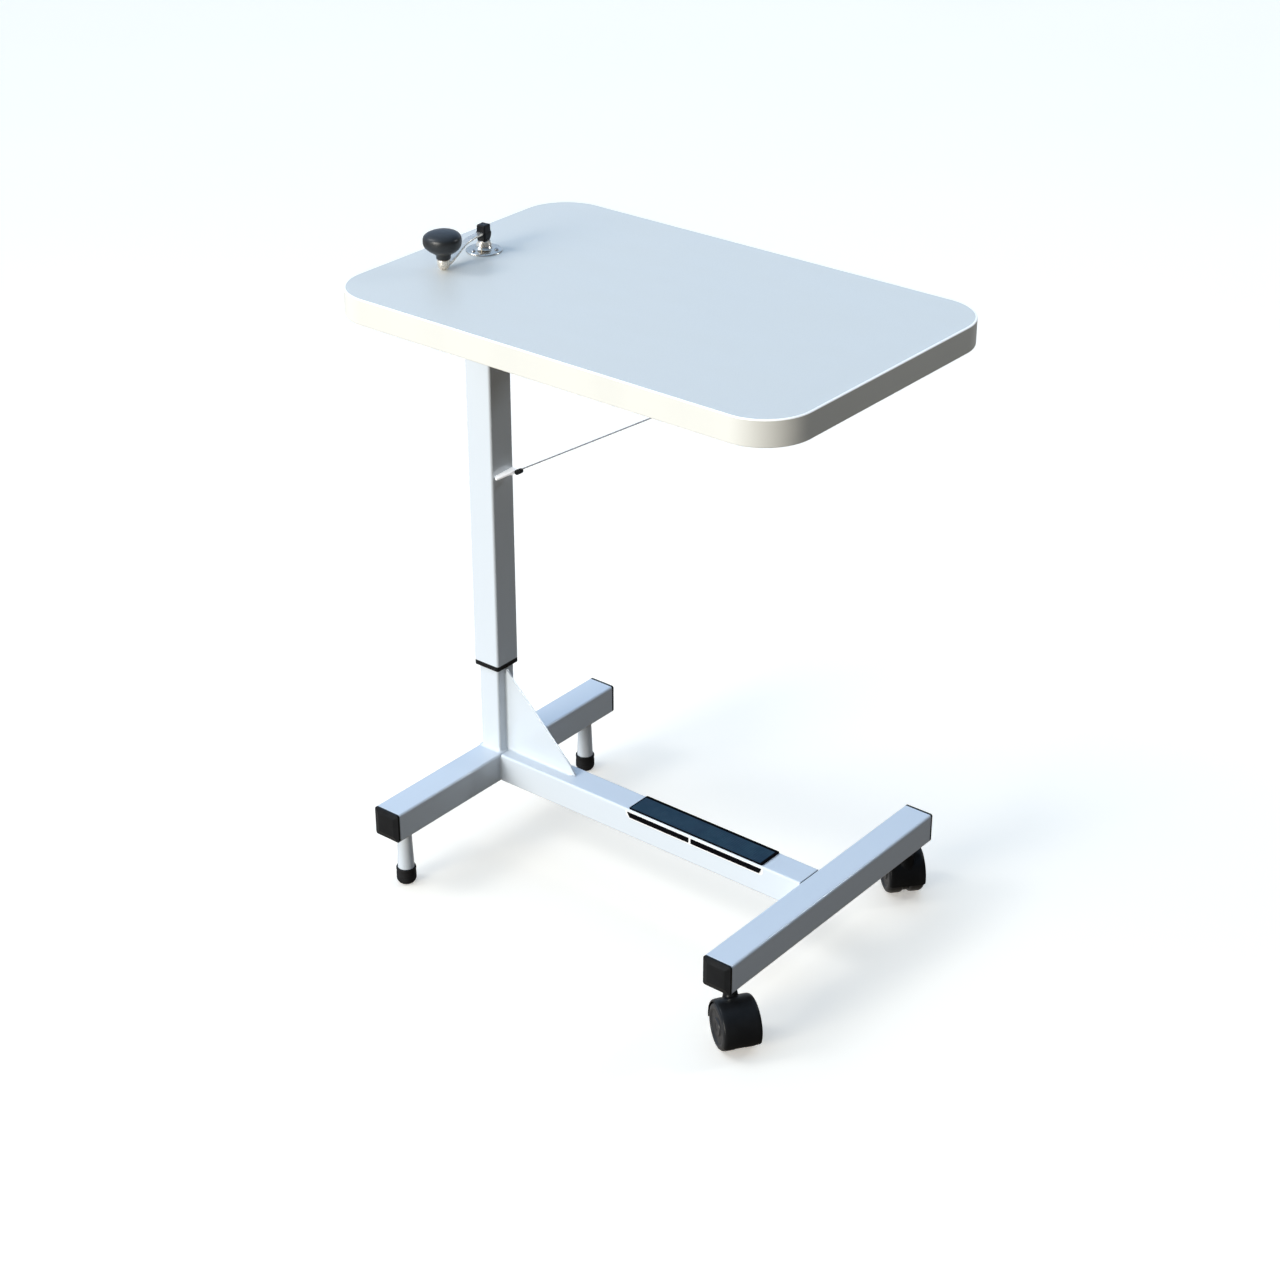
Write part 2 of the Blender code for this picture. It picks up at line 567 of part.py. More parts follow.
# ---- casters ----
def caster(tag, y, azimuth):
    """Twin-wheel swivel caster: its stem is on local z, and its wheels trail along local +x."""
    swivel = shift(WHEEL_X, y, 0) @ Matrix.Rotation(azimuth, 4, "Z")
    name = "caster_" + tag
    pivot(name, swivel)
    seat = RAIL_Z0 - GAP
    bore = STEM_R + RUN
    turned("caster_socket_" + tag,
           [(0.0, 0.1000), (0.0070, 0.1000), (0.0077, 0.0990), (0.0077, seat), (0.0110, seat),
            (0.0110, seat - 0.0020), (bore, seat - 0.0020), (bore, 0.0975), (0.0, 0.0975)], "black_plastic",
           shift(WHEEL_X, y, 0))
    shoulder = seat - 0.0023
    turned("caster_stem_" + tag,
           [(0.0, 0.0968), (0.0042, 0.0968), (STEM_R, 0.0960), (STEM_R, shoulder), (0.0080, shoulder),
            (0.0080, shoulder - 0.0029), (STEM_R, shoulder - 0.0029), (STEM_R, 0.0540), (0.0, 0.0540)], "zinc",
           swivel, name)
    axle = swivel @ shift(TRAIL, 0, WHEEL_R) @ ALONG_Y
    rim = HOOD_HALF - 0.0013
    hood = turned("caster_housing_" + tag,
                  [(0.0, HOOD_HALF), (HOOD_R - 0.0012, HOOD_HALF), (HOOD_R, rim), (HOOD_R, -rim),
                   (HOOD_R - 0.0012, -HOOD_HALF), (0.0, -HOOD_HALF)], "black_plastic", axle, name, steps=36)
    boss = turned("hood_boss_" + tag, [(0.0, 0.0610), (0.0070, 0.0610), (0.0076, 0.0602), (0.0082, 0.0560),
                                       (0.0082, 0.0400), (0.0, 0.0400)], None, swivel, name)
    boolean(hood, boss, "UNION")
    for side, low, high in (("left", WEB_HALF, 0.0397), ("right", -0.0397, -WEB_HALF)):
        boolean(hood, plug("pocket_" + tag + "_" + side, POCKET_R, low, high, axle, name, 36))
    tilt = shift(TRAIL, 0, 0.0190) @ Matrix.Rotation(math.radians(6), 4, "Y")
    below = box("below_" + tag, (-0.05, -0.05, -0.10), (0.05, 0.05, 0.0), None, swivel @ tilt, name)
    boolean(hood, below)
    half = WEB_HALF - GAP
    web = turned("web_" + tag, [(0.0, half), (WEB_R, half), (WEB_R, -half), (0.0, -half)], None, axle, name, steps=36)
    boolean(hood, web, "UNION")
    boolean(hood, plug("stem_hole_" + tag, STEM_R + GAP, 0.0537, 0.08, swivel, name))
    boolean(hood, plug("axle_hole_" + tag, AXLE_R + GAP, -0.01, 0.01, axle, name))
    end = 0.0150
    turned("caster_axle_" + tag, [(0.0, end), (0.0026, end), (AXLE_R, end - 0.0004), (AXLE_R, 0.0004 - end),
                                  (0.0026, -end), (0.0, -end)], "zinc", axle, name)
    bore = AXLE_R + RUN
    for side, flip in (("left", 0), ("right", 180)):
        outward = axle @ Matrix.Rotation(math.radians(flip), 4, "X")
        turned("caster_wheel_" + tag + "_" + side,
               [(0.0, 0.0219), (0.0100, 0.0224), (0.0110, 0.0214), (0.0200, 0.0209), (0.0215, 0.0224),
                (0.0245, 0.0222), (0.0268, 0.0204), (WHEEL_R, 0.0174), (WHEEL_R, 0.0070), (0.0270, 0.0040),
                (bore, 0.0037), (bore, 0.0158), (0.0, 0.0158)], "black_plastic", outward, name, steps=32)


pivot("lift_carriage", shift(COL_X, 0, OUTER_Z0))
pivot("crank_pivot", shift(COL_X, 0, TOP_Z), "lift_carriage")
pivot("knob_pivot", shift(COL_X + CRANK_R * math.cos(CRANK_AZ), CRANK_R * math.sin(CRANK_AZ), TOP_Z), "crank_pivot")

base_tubes()
for tag, sign in (("front", -1), ("rear", 1)):
    end_cap("cap_column_" + tag, COL_X, COL_CROSS_HALF, sign)
    end_cap("cap_wheel_" + tag, WHEEL_X, WHEEL_CROSS_HALF, sign)
for tag, y in LEGS:
    leg(tag, y)
gusset()
foot_rest()
column_head()
moving_column()
board(*top_frame())
bearing()
stay()
crank()
for tag, y, azimuth in CASTERS:
    caster(tag, y, azimuth)
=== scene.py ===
"""Looks of the overbed table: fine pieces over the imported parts, their finishes, a studio and the camera.

Metres, +Z up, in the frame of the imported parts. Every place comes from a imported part's box.
"""

import math

import bmesh
import bpy
from mathutils import Matrix, Vector


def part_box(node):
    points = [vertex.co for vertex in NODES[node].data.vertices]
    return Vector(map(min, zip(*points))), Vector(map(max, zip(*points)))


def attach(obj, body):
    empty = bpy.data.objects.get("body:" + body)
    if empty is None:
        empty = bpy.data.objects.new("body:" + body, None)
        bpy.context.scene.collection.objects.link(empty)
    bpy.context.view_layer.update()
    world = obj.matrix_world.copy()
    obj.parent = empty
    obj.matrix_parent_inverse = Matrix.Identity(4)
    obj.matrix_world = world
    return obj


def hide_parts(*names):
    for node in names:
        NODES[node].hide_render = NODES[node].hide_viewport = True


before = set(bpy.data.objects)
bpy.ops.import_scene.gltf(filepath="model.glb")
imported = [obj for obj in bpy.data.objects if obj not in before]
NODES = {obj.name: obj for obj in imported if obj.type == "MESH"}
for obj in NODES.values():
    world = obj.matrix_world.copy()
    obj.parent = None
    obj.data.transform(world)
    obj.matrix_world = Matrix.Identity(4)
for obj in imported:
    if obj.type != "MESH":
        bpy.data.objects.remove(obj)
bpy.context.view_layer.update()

# Turns that lay local z along the world's x, y or z
ALONG = (
    Matrix.Rotation(math.radians(90), 4, "Y"),
    Matrix.Rotation(math.radians(-90), 4, "X"),
    Matrix.Identity(4),
)
UPRIGHT = Matrix.Rotation(math.radians(90), 4, "X")     # local y along the world's z
UPSIDE_DOWN = Matrix.Diagonal((1, 1, -1, 1))


def middle(node):
    low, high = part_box(node)
    return (low + high) / 2


def extent(node):
    low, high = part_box(node)
    return high - low


def shift(x, y, z):
    return Matrix.Translation((x, y, z))


def over(node, z=0.0):
    """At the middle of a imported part's plan, at height z."""
    centre = middle(node)
    return shift(centre.x, centre.y, z)


COLUMN = middle("outer_column")         # its x and y are the column's axis
TUBE = extent("outer_column").x
INNER = extent("inner_column").x
RAIL_LOW, RAIL_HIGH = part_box("base_rail")
WALL = 0.0015           # of every tube
TUBE_R = 0.003          # outer corner radius of every tube
BAND_T = 0.002          # thickness of the edge band
TOP_R = 0.058           # corner radius of the top
LEG_TOP_R = 0.0085
HUB = 0.0125            # side of the crank's hub block
SEAM = 0.0003           # gap between two pieces that touch
OVERLAP = 0.0002        # a weld reaches this far into the metal on both sides
SHARP = math.radians(38)        # edges that turn further are shaded sharp and rounded
SAME_POINT = 0.000001
# Leg length of each weld
BEAD = {"column_foot": 0.0042, "column_head": 0.0036, "gusset": 0.0032, "leg": 0.0026, "rail_side": 0.0026,
        "rail_under": 0.0022}


# ---- finishes ----
def new_tree(name, metallic, coat=0.0):
    made = bpy.data.materials.new(name)
    made.use_nodes = True
    shader = made.node_tree.nodes["Principled BSDF"]
    shader.inputs["Metallic"].default_value = metallic
    shader.inputs["Coat Weight"].default_value = coat
    shader.inputs["Coat Roughness"].default_value = 0.10
    return made, made.node_tree, shader


def coordinates(tree, stretch=(1.0, 1.0, 1.0)):
    """The piece's own coordinates, in metres, multiplied by the stretch."""
    where = tree.nodes.new("ShaderNodeTexCoord")
    scaled = tree.nodes.new("ShaderNodeMapping")
    scaled.inputs["Scale"].default_value = stretch
    tree.links.new(where.outputs["Object"], scaled.inputs["Vector"])
    return scaled.outputs["Vector"]


def noise(tree, scale, detail=3.0, stretch=(1.0, 1.0, 1.0)):
    """Soft patches about 1/scale metres across."""
    made = tree.nodes.new("ShaderNodeTexNoise")
    made.inputs["Scale"].default_value = scale
    made.inputs["Detail"].default_value = detail
    tree.links.new(coordinates(tree, stretch), made.inputs["Vector"])
    return made.outputs["Fac"]


def cells(tree, scale, stretch=(1.0, 1.0, 1.0)):
    """Distance from the middles of cells about 1/scale metres across."""
    made = tree.nodes.new("ShaderNodeTexVoronoi")
    made.inputs["Scale"].default_value = scale
    tree.links.new(coordinates(tree, stretch), made.inputs["Vector"])
    return made.outputs["Distance"]


def ramped(tree, factor, stops):
    """Colour from a factor, through colours at their positions."""
    ramp = tree.nodes.new("ShaderNodeValToRGB")
    while len(ramp.color_ramp.elements) < len(stops):
        ramp.color_ramp.elements.new(0.5)
    for element, (position, colour) in zip(ramp.color_ramp.elements, stops):
        element.position = position
        element.color = (*colour, 1.0)
    tree.links.new(factor, ramp.inputs["Fac"])
    return ramp.outputs["Color"]


def tint(tree, shader, factor, stops):
    tree.links.new(ramped(tree, factor, stops), shader.inputs["Base Color"])


def gloss(tree, shader, factor, low, high):
    """Roughness between two values, from a noise that stays near its middle."""
    spread = tree.nodes.new("ShaderNodeMapRange")
    spread.inputs["From Min"].default_value = 0.35
    spread.inputs["From Max"].default_value = 0.65
    spread.inputs["To Min"].default_value = low
    spread.inputs["To Max"].default_value = high
    tree.links.new(factor, spread.inputs["Value"])
    tree.links.new(spread.outputs["Result"], shader.inputs["Roughness"])


def relief(tree, shader, height, depth, strength=1.0):
    """Bump of a real depth in metres, on top of any bump that is there already."""
    bump = tree.nodes.new("ShaderNodeBump")
    bump.inputs["Distance"].default_value = depth
    bump.inputs["Strength"].default_value = strength
    tree.links.new(height, bump.inputs["Height"])
    if shader.inputs["Normal"].is_linked:
        tree.links.new(shader.inputs["Normal"].links[0].from_socket, bump.inputs["Normal"])
    tree.links.new(bump.outputs["Normal"], shader.inputs["Normal"])


def finish(name, dark, light, patch, rough, grain, depth, metallic=0.0, coat=0.0, stretch=(1.0, 1.0, 1.0),
           pebbled=False, specular=0.5, painted_light_strength=0.0):
    """Two near colours in soft patches, uneven gloss, and a fine grain of noise or of pebbles. A glow, where
    given, is painted light.
    """
    made, tree, shader = new_tree(name, metallic, coat)
    # Emission that paints light onto the surface, where a strength is given
    shader.inputs["Emission Color"].default_value = (1.0, 1.0, 1.0, 1.0)
    shader.inputs["Emission Strength"].default_value = painted_light_strength
    shader.inputs["Specular IOR Level"].default_value = specular
    tint(tree, shader, noise(tree, patch, 4.0, stretch), ((0.35, dark), (0.65, light)))
    gloss(tree, shader, noise(tree, patch * 2.6, 3.0, stretch), *rough)
    bumps = cells(tree, grain, stretch) if pebbled else noise(tree, grain, 2.0, stretch)
    relief(tree, shader, bumps, depth)
    return made


def laminate_finish():
    """Pale blue-grey satin laminate: a barely visible fleck, wiped gloss and a fine pebble."""
    made, tree, shader = new_tree("laminate", 0.0, 0.05)
    tint(tree, shader, noise(tree, 900.0, 5.0),
         ((0.30, (0.705, 0.700, 0.648)), (0.45, (0.748, 0.738, 0.684)), (0.70, (0.762, 0.750, 0.696))))
    gloss(tree, shader, noise(tree, 9.0, 4.0, (1.0, 2.6, 1.0)), 0.34, 0.46)
    relief(tree, shader, cells(tree, 1400.0), 0.00002, 0.6)
    return made


def chipboard_finish():
    """Pressed chips: flat cells in wood tones under a coarse noise."""
    made, tree, shader = new_tree("board", 0.0)
    tint(tree, shader, cells(tree, 330.0, (1.0, 1.0, 2.4)),
         ((0.05, (0.30, 0.20, 0.11)), (0.35, (0.52, 0.38, 0.23)), (0.75, (0.66, 0.51, 0.33))))
    gloss(tree, shader, noise(tree, 60.0), 0.75, 0.9)
    relief(tree, shader, noise(tree, 700.0, 4.0), 0.0002)
    return made


def brushed_finish(name, dark, light, rough):
    """Bright metal with fine lines across its length, as turning or drawing leaves them."""
    made, tree, shader = new_tree(name, 1.0)
    lines = noise(tree, 40.0, 6.0, (1.0, 1.0, 40.0))
    tint(tree, shader, lines, ((0.3, dark), (0.7, light)))
    gloss(tree, shader, lines, *rough)
    relief(tree, shader, noise(tree, 90.0, 3.0, (1.0, 1.0, 30.0)), 0.00003, 0.5)
    return made


def threaded_finish():
    """Ground steel with a trapezoidal thread's ridges."""
    pitch = 0.004
    phase = 20          # radians that the texture runs through in one unit at scale 1
    made, tree, shader = new_tree("lead_screw_steel", 1.0)
    tint(tree, shader, noise(tree, 120.0, 4.0), ((0.35, (0.40, 0.39, 0.38)), (0.65, (0.56, 0.56, 0.57))))
    gloss(tree, shader, noise(tree, 200.0), 0.25, 0.42)
    ridges = tree.nodes.new("ShaderNodeTexWave")
    ridges.bands_direction = "Z"
    ridges.inputs["Scale"].default_value = 2 * math.pi / pitch / phase
    tree.links.new(coordinates(tree), ridges.inputs["Vector"])
    relief(tree, shader, ridges.outputs["Fac"], 0.0012)
    return made


FINISH = {
    "white_paint": finish(
        "white_paint", (0.676, 0.733, 0.790), (0.686, 0.743, 0.800),
        patch=5.0, rough=(0.28, 0.31), grain=480.0, depth=0.00003, coat=0.5),
    "bright_paint": finish(
        "bright_paint", (0.93, 0.93, 0.93), (0.96, 0.96, 0.96),
        patch=9.0, rough=(0.24, 0.30), grain=480.0, depth=0.00002, coat=0.5),
    "laminate": laminate_finish(),
    "backing": finish(
        "backing_sheet", (0.55, 0.55, 0.53), (0.62, 0.62, 0.60),
        patch=20.0, rough=(0.55, 0.7), grain=900.0, depth=0.00004),
    "edge_band": finish(
        "edge_band", (0.765, 0.755, 0.700), (0.790, 0.780, 0.722),
        patch=14.0, rough=(0.34, 0.44), grain=700.0, depth=0.00002, stretch=(1.0, 1.0, 0.25)),
    # Painted highlight: the edge band's upper lip is lighter than the band and glows, painting the bright
    # line along the top's edge
    "band_lip_painted_highlight": finish(
        "band_lip_painted_highlight", (0.92, 0.92, 0.90), (0.95, 0.95, 0.93),
        patch=14.0, rough=(0.30, 0.38), grain=700.0, depth=0.00001, painted_light_strength=0.3),
    # Painted light: the stay bracket's lug is lighter than the frame's paint and glows, lifting it out of
    # the column's shade
    "lug_white_painted_light": finish(
        "lug_white_painted_light", (0.93, 0.93, 0.93), (0.96, 0.96, 0.96),
        patch=30.0, rough=(0.24, 0.30), grain=700.0, depth=0.00002, painted_light_strength=0.4),
    "board": chipboard_finish(),
    "black_plastic": finish(
        "black_plastic", (0.0080, 0.0084, 0.0092), (0.0120, 0.0126, 0.0135),
        patch=40.0, rough=(0.28, 0.38), grain=1300.0, depth=0.00003, pebbled=True, specular=0.14),
    "knob_black": finish(
        "knob_black", (0.016, 0.0175, 0.019), (0.022, 0.024, 0.026),
        patch=60.0, rough=(0.30, 0.38), grain=1300.0, depth=0.00002, pebbled=True, specular=0.35),
    "black_rubber": finish(
        "black_rubber", (0.008, 0.008, 0.009), (0.016, 0.016, 0.017),
        patch=70.0, rough=(0.62, 0.8), grain=900.0, depth=0.00006, specular=0.2),
    "grip": finish(
        "grip", (0.003, 0.003, 0.004), (0.005, 0.005, 0.006),
        patch=70.0, rough=(0.6, 0.75), grain=900.0, depth=0.00004, specular=0.0),
    "wheel_tread": finish(
        "wheel_tread", (0.012, 0.0125, 0.014), (0.022, 0.023, 0.025),
        patch=60.0, rough=(0.30, 0.42), grain=700.0, depth=0.00004, specular=0.35),
    "foot_pad": finish(
        "foot_pad", (0.0075, 0.032, 0.062), (0.0135, 0.048, 0.078),
        patch=26.0, rough=(0.55, 0.72), grain=1100.0, depth=0.00006, pebbled=True, specular=0.2),
    "chrome": finish(
        "chrome", (0.56, 0.53, 0.48), (0.66, 0.63, 0.58),
        patch=55.0, rough=(0.20, 0.30), grain=260.0, depth=0.00002, metallic=1.0),
    "satin_chrome": finish(
        "satin_chrome", (0.72, 0.66, 0.58), (0.80, 0.74, 0.66),
        patch=55.0, rough=(0.22, 0.32), grain=260.0, depth=0.00002, metallic=0.7),
    "steel": brushed_finish("steel", (0.42, 0.42, 0.43), (0.64, 0.64, 0.65), (0.22, 0.38)),
    "zinc": finish(
        "zinc", (0.52, 0.54, 0.56), (0.70, 0.71, 0.70),
        patch=120.0, rough=(0.28, 0.45), grain=800.0, depth=0.00003, metallic=1.0),
    "brass": brushed_finish("brass", (0.60, 0.41, 0.16), (0.78, 0.58, 0.27), (0.25, 0.4)),
    "guide_nylon": finish(
        "guide_nylon", (0.66, 0.65, 0.60), (0.74, 0.73, 0.69),
        patch=50.0, rough=(0.4, 0.55), grain=600.0, depth=0.00004),
    "screw_steel": threaded_finish(),
}


# ---- shapes ----
def solid(name, points, faces):
    """Closed object from its points and faces."""
    mesh = bpy.data.meshes.new(name)
    mesh.from_pydata([tuple(p) for p in points], [], faces)
    bm = bmesh.new()
    bm.from_mesh(mesh)
    bmesh.ops.recalc_face_normals(bm, faces=bm.faces)
    bm.to_mesh(mesh)
    bm.free()
    return shown(name, mesh)


def shown(name, mesh):
    """Object of a mesh, shaded smooth between its sharp edges."""
    mesh.shade_smooth()
    mesh.set_sharp_from_angle(angle=SHARP)
    obj = bpy.data.objects.new(name, mesh)
    bpy.context.scene.collection.objects.link(obj)
    return obj


def loft(name, rings, matrix=Matrix.Identity(4), hollow=False):
    """Skin over rings of equally many points. The ends are capped or, on a hollow piece, meet."""
    count = len(rings[0])
    points = [matrix @ Vector(p) for ring in rings for p in ring]
    spans = list(zip(range(len(rings) - 1), range(1, len(rings))))
    if hollow:
        spans.append((len(rings) - 1, 0))
    faces = []
    for a, b in spans:
        for i in range(count):
            j = (i + 1) % count
            faces.append((a * count + i, a * count + j, b * count + j, b * count + i))
    if not hollow:
        faces.append(tuple(range(count)))
        faces.append(tuple(range((len(rings) - 1) * count, len(rings) * count)))
    return solid(name, points, faces)


def circle(radius, z, steps=48):
    angles = [2 * math.pi * i / steps for i in range(steps)]
    return [(radius * math.cos(a), radius * math.sin(a), z) for a in angles]


def turned(name, profile, matrix, steps=64, hollow=False):
    """Profile of (radius, height) turned about local z."""
    return loft(name, [circle(radius, z, steps) for radius, z in profile], matrix, hollow)


def rounded_rect(width, depth, radius, steps=8):
    """Outline about the origin, anticlockwise."""
    points = []
    for sx, sy, start in ((1, 1, 0), (-1, 1, 90), (-1, -1, 180), (1, -1, 270)):
        for i in range(steps + 1):
            a = math.radians(start + 90 * i / steps)
            points.append((sx * (width / 2 - radius) + radius * math.cos(a),
                           sy * (depth / 2 - radius) + radius * math.sin(a)))
    return points


def pillow(name, width, depth, radius, profile, matrix, steps=8, hollow=False):
    """Rounded rectangles stacked along local z: a profile of (inset from the outline, height)."""
    least = 0.0003
    rings = []
    for inset, z in profile:
        corner = max(radius - inset, least)
        outline = rounded_rect(width - 2 * inset, depth - 2 * inset, corner, steps)
        rings.append([(x, y, z) for x, y in outline])
    return loft(name, rings, matrix, hollow)


def slab(name, outline, low, high, matrix, soft):
    """Flat outline given a thickness and soft edges."""
    obj = loft(name, [[(x, y, z) for x, y in outline] for z in (low, high)], matrix)
    soften(obj, soft)
    return obj


def walled(name, inner, outer, low, high):
    """Flat ring between two outlines of equally many points."""
    edges = ((inner, low), (outer, low), (outer, high), (inner, high))
    return loft(name, [[(x, y, z) for x, y in line] for line, z in edges], hollow=True)


def holed_sheet(name, outline, centre, radius, low, high):
    """Flat sheet with a round hole. Each hole point lies between the centre and its partner on the rim."""
    hole = []
    for x, y in outline:
        away = Vector((x - centre.x, y - centre.y)).normalized() * radius
        hole.append((centre.x + away.x, centre.y + away.y))
    return walled(name, hole, outline, low, high)


def soften(obj, width, steps=3):
    """Rounds the sharp edges."""
    mod = obj.modifiers.new("edges", "BEVEL")
    mod.width = width
    mod.segments = steps
    mod.limit_method = "ANGLE"
    mod.angle_limit = SHARP


def applied(obj):
    """The object with its modifiers made part of its mesh, and points that nearly coincide merged."""
    bpy.context.view_layer.update()
    graph = bpy.context.evaluated_depsgraph_get()
    mesh = bpy.data.meshes.new_from_object(obj.evaluated_get(graph))
    bm = bmesh.new()
    bm.from_mesh(mesh)
    bmesh.ops.remove_doubles(bm, verts=bm.verts, dist=2 * SAME_POINT)
    bm.to_mesh(mesh)
    bm.free()
    name = obj.name
    bpy.data.objects.remove(obj)
    return shown(name, mesh)


def carved(obj, *cutters):
    """The object less its cutters, which go."""
    for cutter in cutters:
        mod = obj.modifiers.new("cut", "BOOLEAN")
        mod.operation = "DIFFERENCE"
        mod.object = cutter
    made = applied(obj)
    for cutter in cutters:
        bpy.data.objects.remove(cutter)
    return made


def joined(name, *objs):
    """One object of several closed bodies."""
    bm = bmesh.new()
    for obj in objs:
        bm.from_mesh(obj.data)
        bpy.data.objects.remove(obj)
    mesh = bpy.data.meshes.new(name)
    bm.to_mesh(mesh)
    bm.free()
    return shown(name, mesh)


def refined(node, soft, steps=3):
    """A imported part's own shape, its facets merged and its edges rounded."""
    mesh = NODES[node].data.copy()
    mesh.materials.clear()
    bm = bmesh.new()
    bm.from_mesh(mesh)
    bmesh.ops.remove_doubles(bm, verts=bm.verts, dist=SAME_POINT)
    bmesh.ops.dissolve_limit(bm, angle_limit=math.radians(1), verts=bm.verts, edges=bm.edges)
    bm.to_mesh(mesh)
    bm.free()
    obj = shown(node + "_fine", mesh)
    soften(obj, soft, steps)
    return obj


def enter(obj, body, look, *nodes):
    """Gives an object its finish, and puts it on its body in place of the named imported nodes."""
    obj.data.materials.clear()
    obj.data.materials.append(FINISH[look])
    even = obj.modifiers.new("normals", "WEIGHTED_NORMAL")
    even.keep_sharp = True
    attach(obj, body)
    if nodes:
        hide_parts(*nodes)
    return obj


# ---- tubes and their welds ----
def square_tube(node, axis, body):
    low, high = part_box(node)
    start = (low + high) / 2
    start[axis] = low[axis]
    side = extent(node)[(axis + 1) % 3]
    length = extent(node)[axis]
    ease = 0.0004
    profile = [(ease, 0.0), (0.0, ease), (0.0, length - ease), (ease, length), (WALL, length), (WALL, 0.0)]
    matrix = Matrix.Translation(start) @ ALONG[axis]
    tube = pillow(node + "_fine", side, side, TUBE_R, profile, matrix, hollow=True)
    enter(tube, body, "white_paint", node)


def weld_section(size):
    """Hollow fillet between two faces at right angles: (distance out, height) points."""
    steps = 6
    points = [(-OVERLAP, -OVERLAP), (size, -OVERLAP)]
    for i in range(steps + 1):
        a = math.radians(90 * i / steps)
        points.append((size * (1 - math.sin(a)), size * (1 - math.cos(a))))
    points.append((-OVERLAP, size))
    return points


def ripple(distance):
    """The bead's size along its length, as a factor: laid drop by drop."""
    pitch = 0.0021
    depth = 0.07
    return 1 - depth + depth * abs(math.sin(math.pi * distance / pitch))


def weld_around(name, body, outline, size, matrix):
    """Bead round a post whose outline is given, in order, as points with their outward directions."""
    rings = []
    travelled = 0.0
    last = outline[-1][0]
    for point, out in outline:
        travelled += (point - last).length
        last = point
        scale = size * ripple(travelled)
        rings.append([(point.x + out.x * d, point.y + out.y * d, h) for d, h in weld_section(scale)])
    return enter(loft(name, rings, matrix, hollow=True), body, "white_paint")


def round_outline(radius):
    steps = 72
    made = []
    for i in range(steps):
        a = 2 * math.pi * i / steps
        out = Vector((math.cos(a), math.sin(a)))
        made.append((out * radius, out))
    return made


def square_outline(side, radius):
    """Points every millimetre or so along a rounded square."""
    pitch = 0.001
    steps = 8
    made = []
    run = side - 2 * radius
    count = int(run / pitch)
    for quarter in range(4):
        turn = Matrix.Rotation(math.radians(90 * quarter), 2)
        for i in range(steps):
            a = math.radians(90 * i / steps)
            out = Vector((math.cos(a), math.sin(a)))
            made.append((turn @ (Vector((run / 2, run / 2)) + out * radius), turn @ out))
        for i in range(count):
            at = Vector((run / 2 - run * i / count, side / 2))
            made.append((turn @ at, turn @ Vector((0.0, 1.0))))
    return made


def weld_run(name, body, start, end, out, up, size):
    """Straight bead from start to end in the corner between two faces, tapered at both ends."""
    start, end, out, up = Vector(start), Vector(end), Vector(out), Vector(up)
    length = (end - start).length
    step = 0.0007
    blunt = 0.25        # share of the full section that is left at the very ends
    taper = 1.5 * size
    count = int(length / step)
    rings = []
    for i in range(count + 1):
        done = length * i / count
        lead = min(1.0, blunt + min(done, length - done) / taper)
        scale = size * ripple(done) * math.sqrt(lead)
        at = start + (end - start) * (i / count)
        rings.append([at + out * d + up * h for d, h in weld_section(scale)])
    return enter(loft(name, rings), body, "white_paint")


def base_frame():
    square_tube("column_cross_tube", 1, "base")
    square_tube("wheel_cross_tube", 1, "base")
    square_tube("base_rail", 0, "base")
    square_tube("inner_column", 2, "base")
    weld_around("weld_column_foot", "base", square_outline(INNER, TUBE_R), BEAD["column_foot"],
                shift(COLUMN.x, 0, RAIL_HIGH.z))
    half = TUBE / 2 - TUBE_R
    for end, x, out in (("column", RAIL_LOW.x - SEAM, 1), ("wheel", RAIL_HIGH.x + SEAM, -1)):
        for tag, side in (("front", -1), ("rear", 1)):
            y = side * TUBE / 2
            weld_run(f"weld_rail_{end}_{tag}", "base", (x, y, RAIL_LOW.z + TUBE_R),
                     (x, y, RAIL_HIGH.z - TUBE_R), (out, 0, 0), (0, side, 0), BEAD["rail_side"])
        weld_run(f"weld_rail_{end}_under", "base", (x, -half, RAIL_LOW.z), (x, half, RAIL_LOW.z),
                 (out, 0, 0), (0, 0, -1), BEAD["rail_under"])


def gusset():
    enter(refined("column_gusset", 0.0007), "base", "white_paint", "column_gusset")
    low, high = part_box("column_gusset")
    face = COLUMN.x + INNER / 2
    # Both beads stop short of the plate's tips
    toe = high.x - 0.004
    bottom = low.z + 0.001
    top = high.z - 0.006
    for tag, side, y in (("front", -1, low.y), ("rear", 1, high.y)):
        weld_run("weld_gusset_foot_" + tag, "base", (low.x, y, RAIL_HIGH.z), (toe, y, RAIL_HIGH.z),
                 (0, side, 0), (0, 0, 1), BEAD["gusset"])
        weld_run("weld_gusset_head_" + tag, "base", (face, y, bottom), (face, y, top),
                 (0, side, 0), (1, 0, 0), BEAD["gusset"])


def end_cap(node):
    """Moulded cap: a flange, a sloping border, a flat middle and a hollow spigot inside the tube."""
    low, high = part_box(node)
    centre = middle(node)
    sign = 1 if centre.y > 0 else -1
    thick = 0.005
    depth = 0.009
    wall = 0.0011
    foot = (high.y if sign > 0 else low.y) - sign * thick
    out = shift(centre.x, foot, centre.z) @ Matrix.Rotation(math.radians(-90 * sign), 4, "X")
    flange = pillow(node + "_face", TUBE, TUBE, TUBE_R,
                    [(0.0003, 0.0), (0.0, 0.0003), (0.0, 0.0025), (0.0003, 0.0029), (0.0010, 0.0030),
                     (0.0062, 0.0047), (0.0070, thick), (0.0086, thick)], out)
    spigot = TUBE - 2 * WALL - 2 * SEAM
    skirt = pillow(node + "_skirt", spigot, spigot, TUBE_R - WALL,
                   [(0.0, 0.0003), (0.0, 0.001 - depth), (0.0004, -depth), (wall, -depth), (wall, 0.0003)],
                   out, hollow=True)
    enter(joined(node + "_fine", flange, skirt), "base", "black_plastic", node)


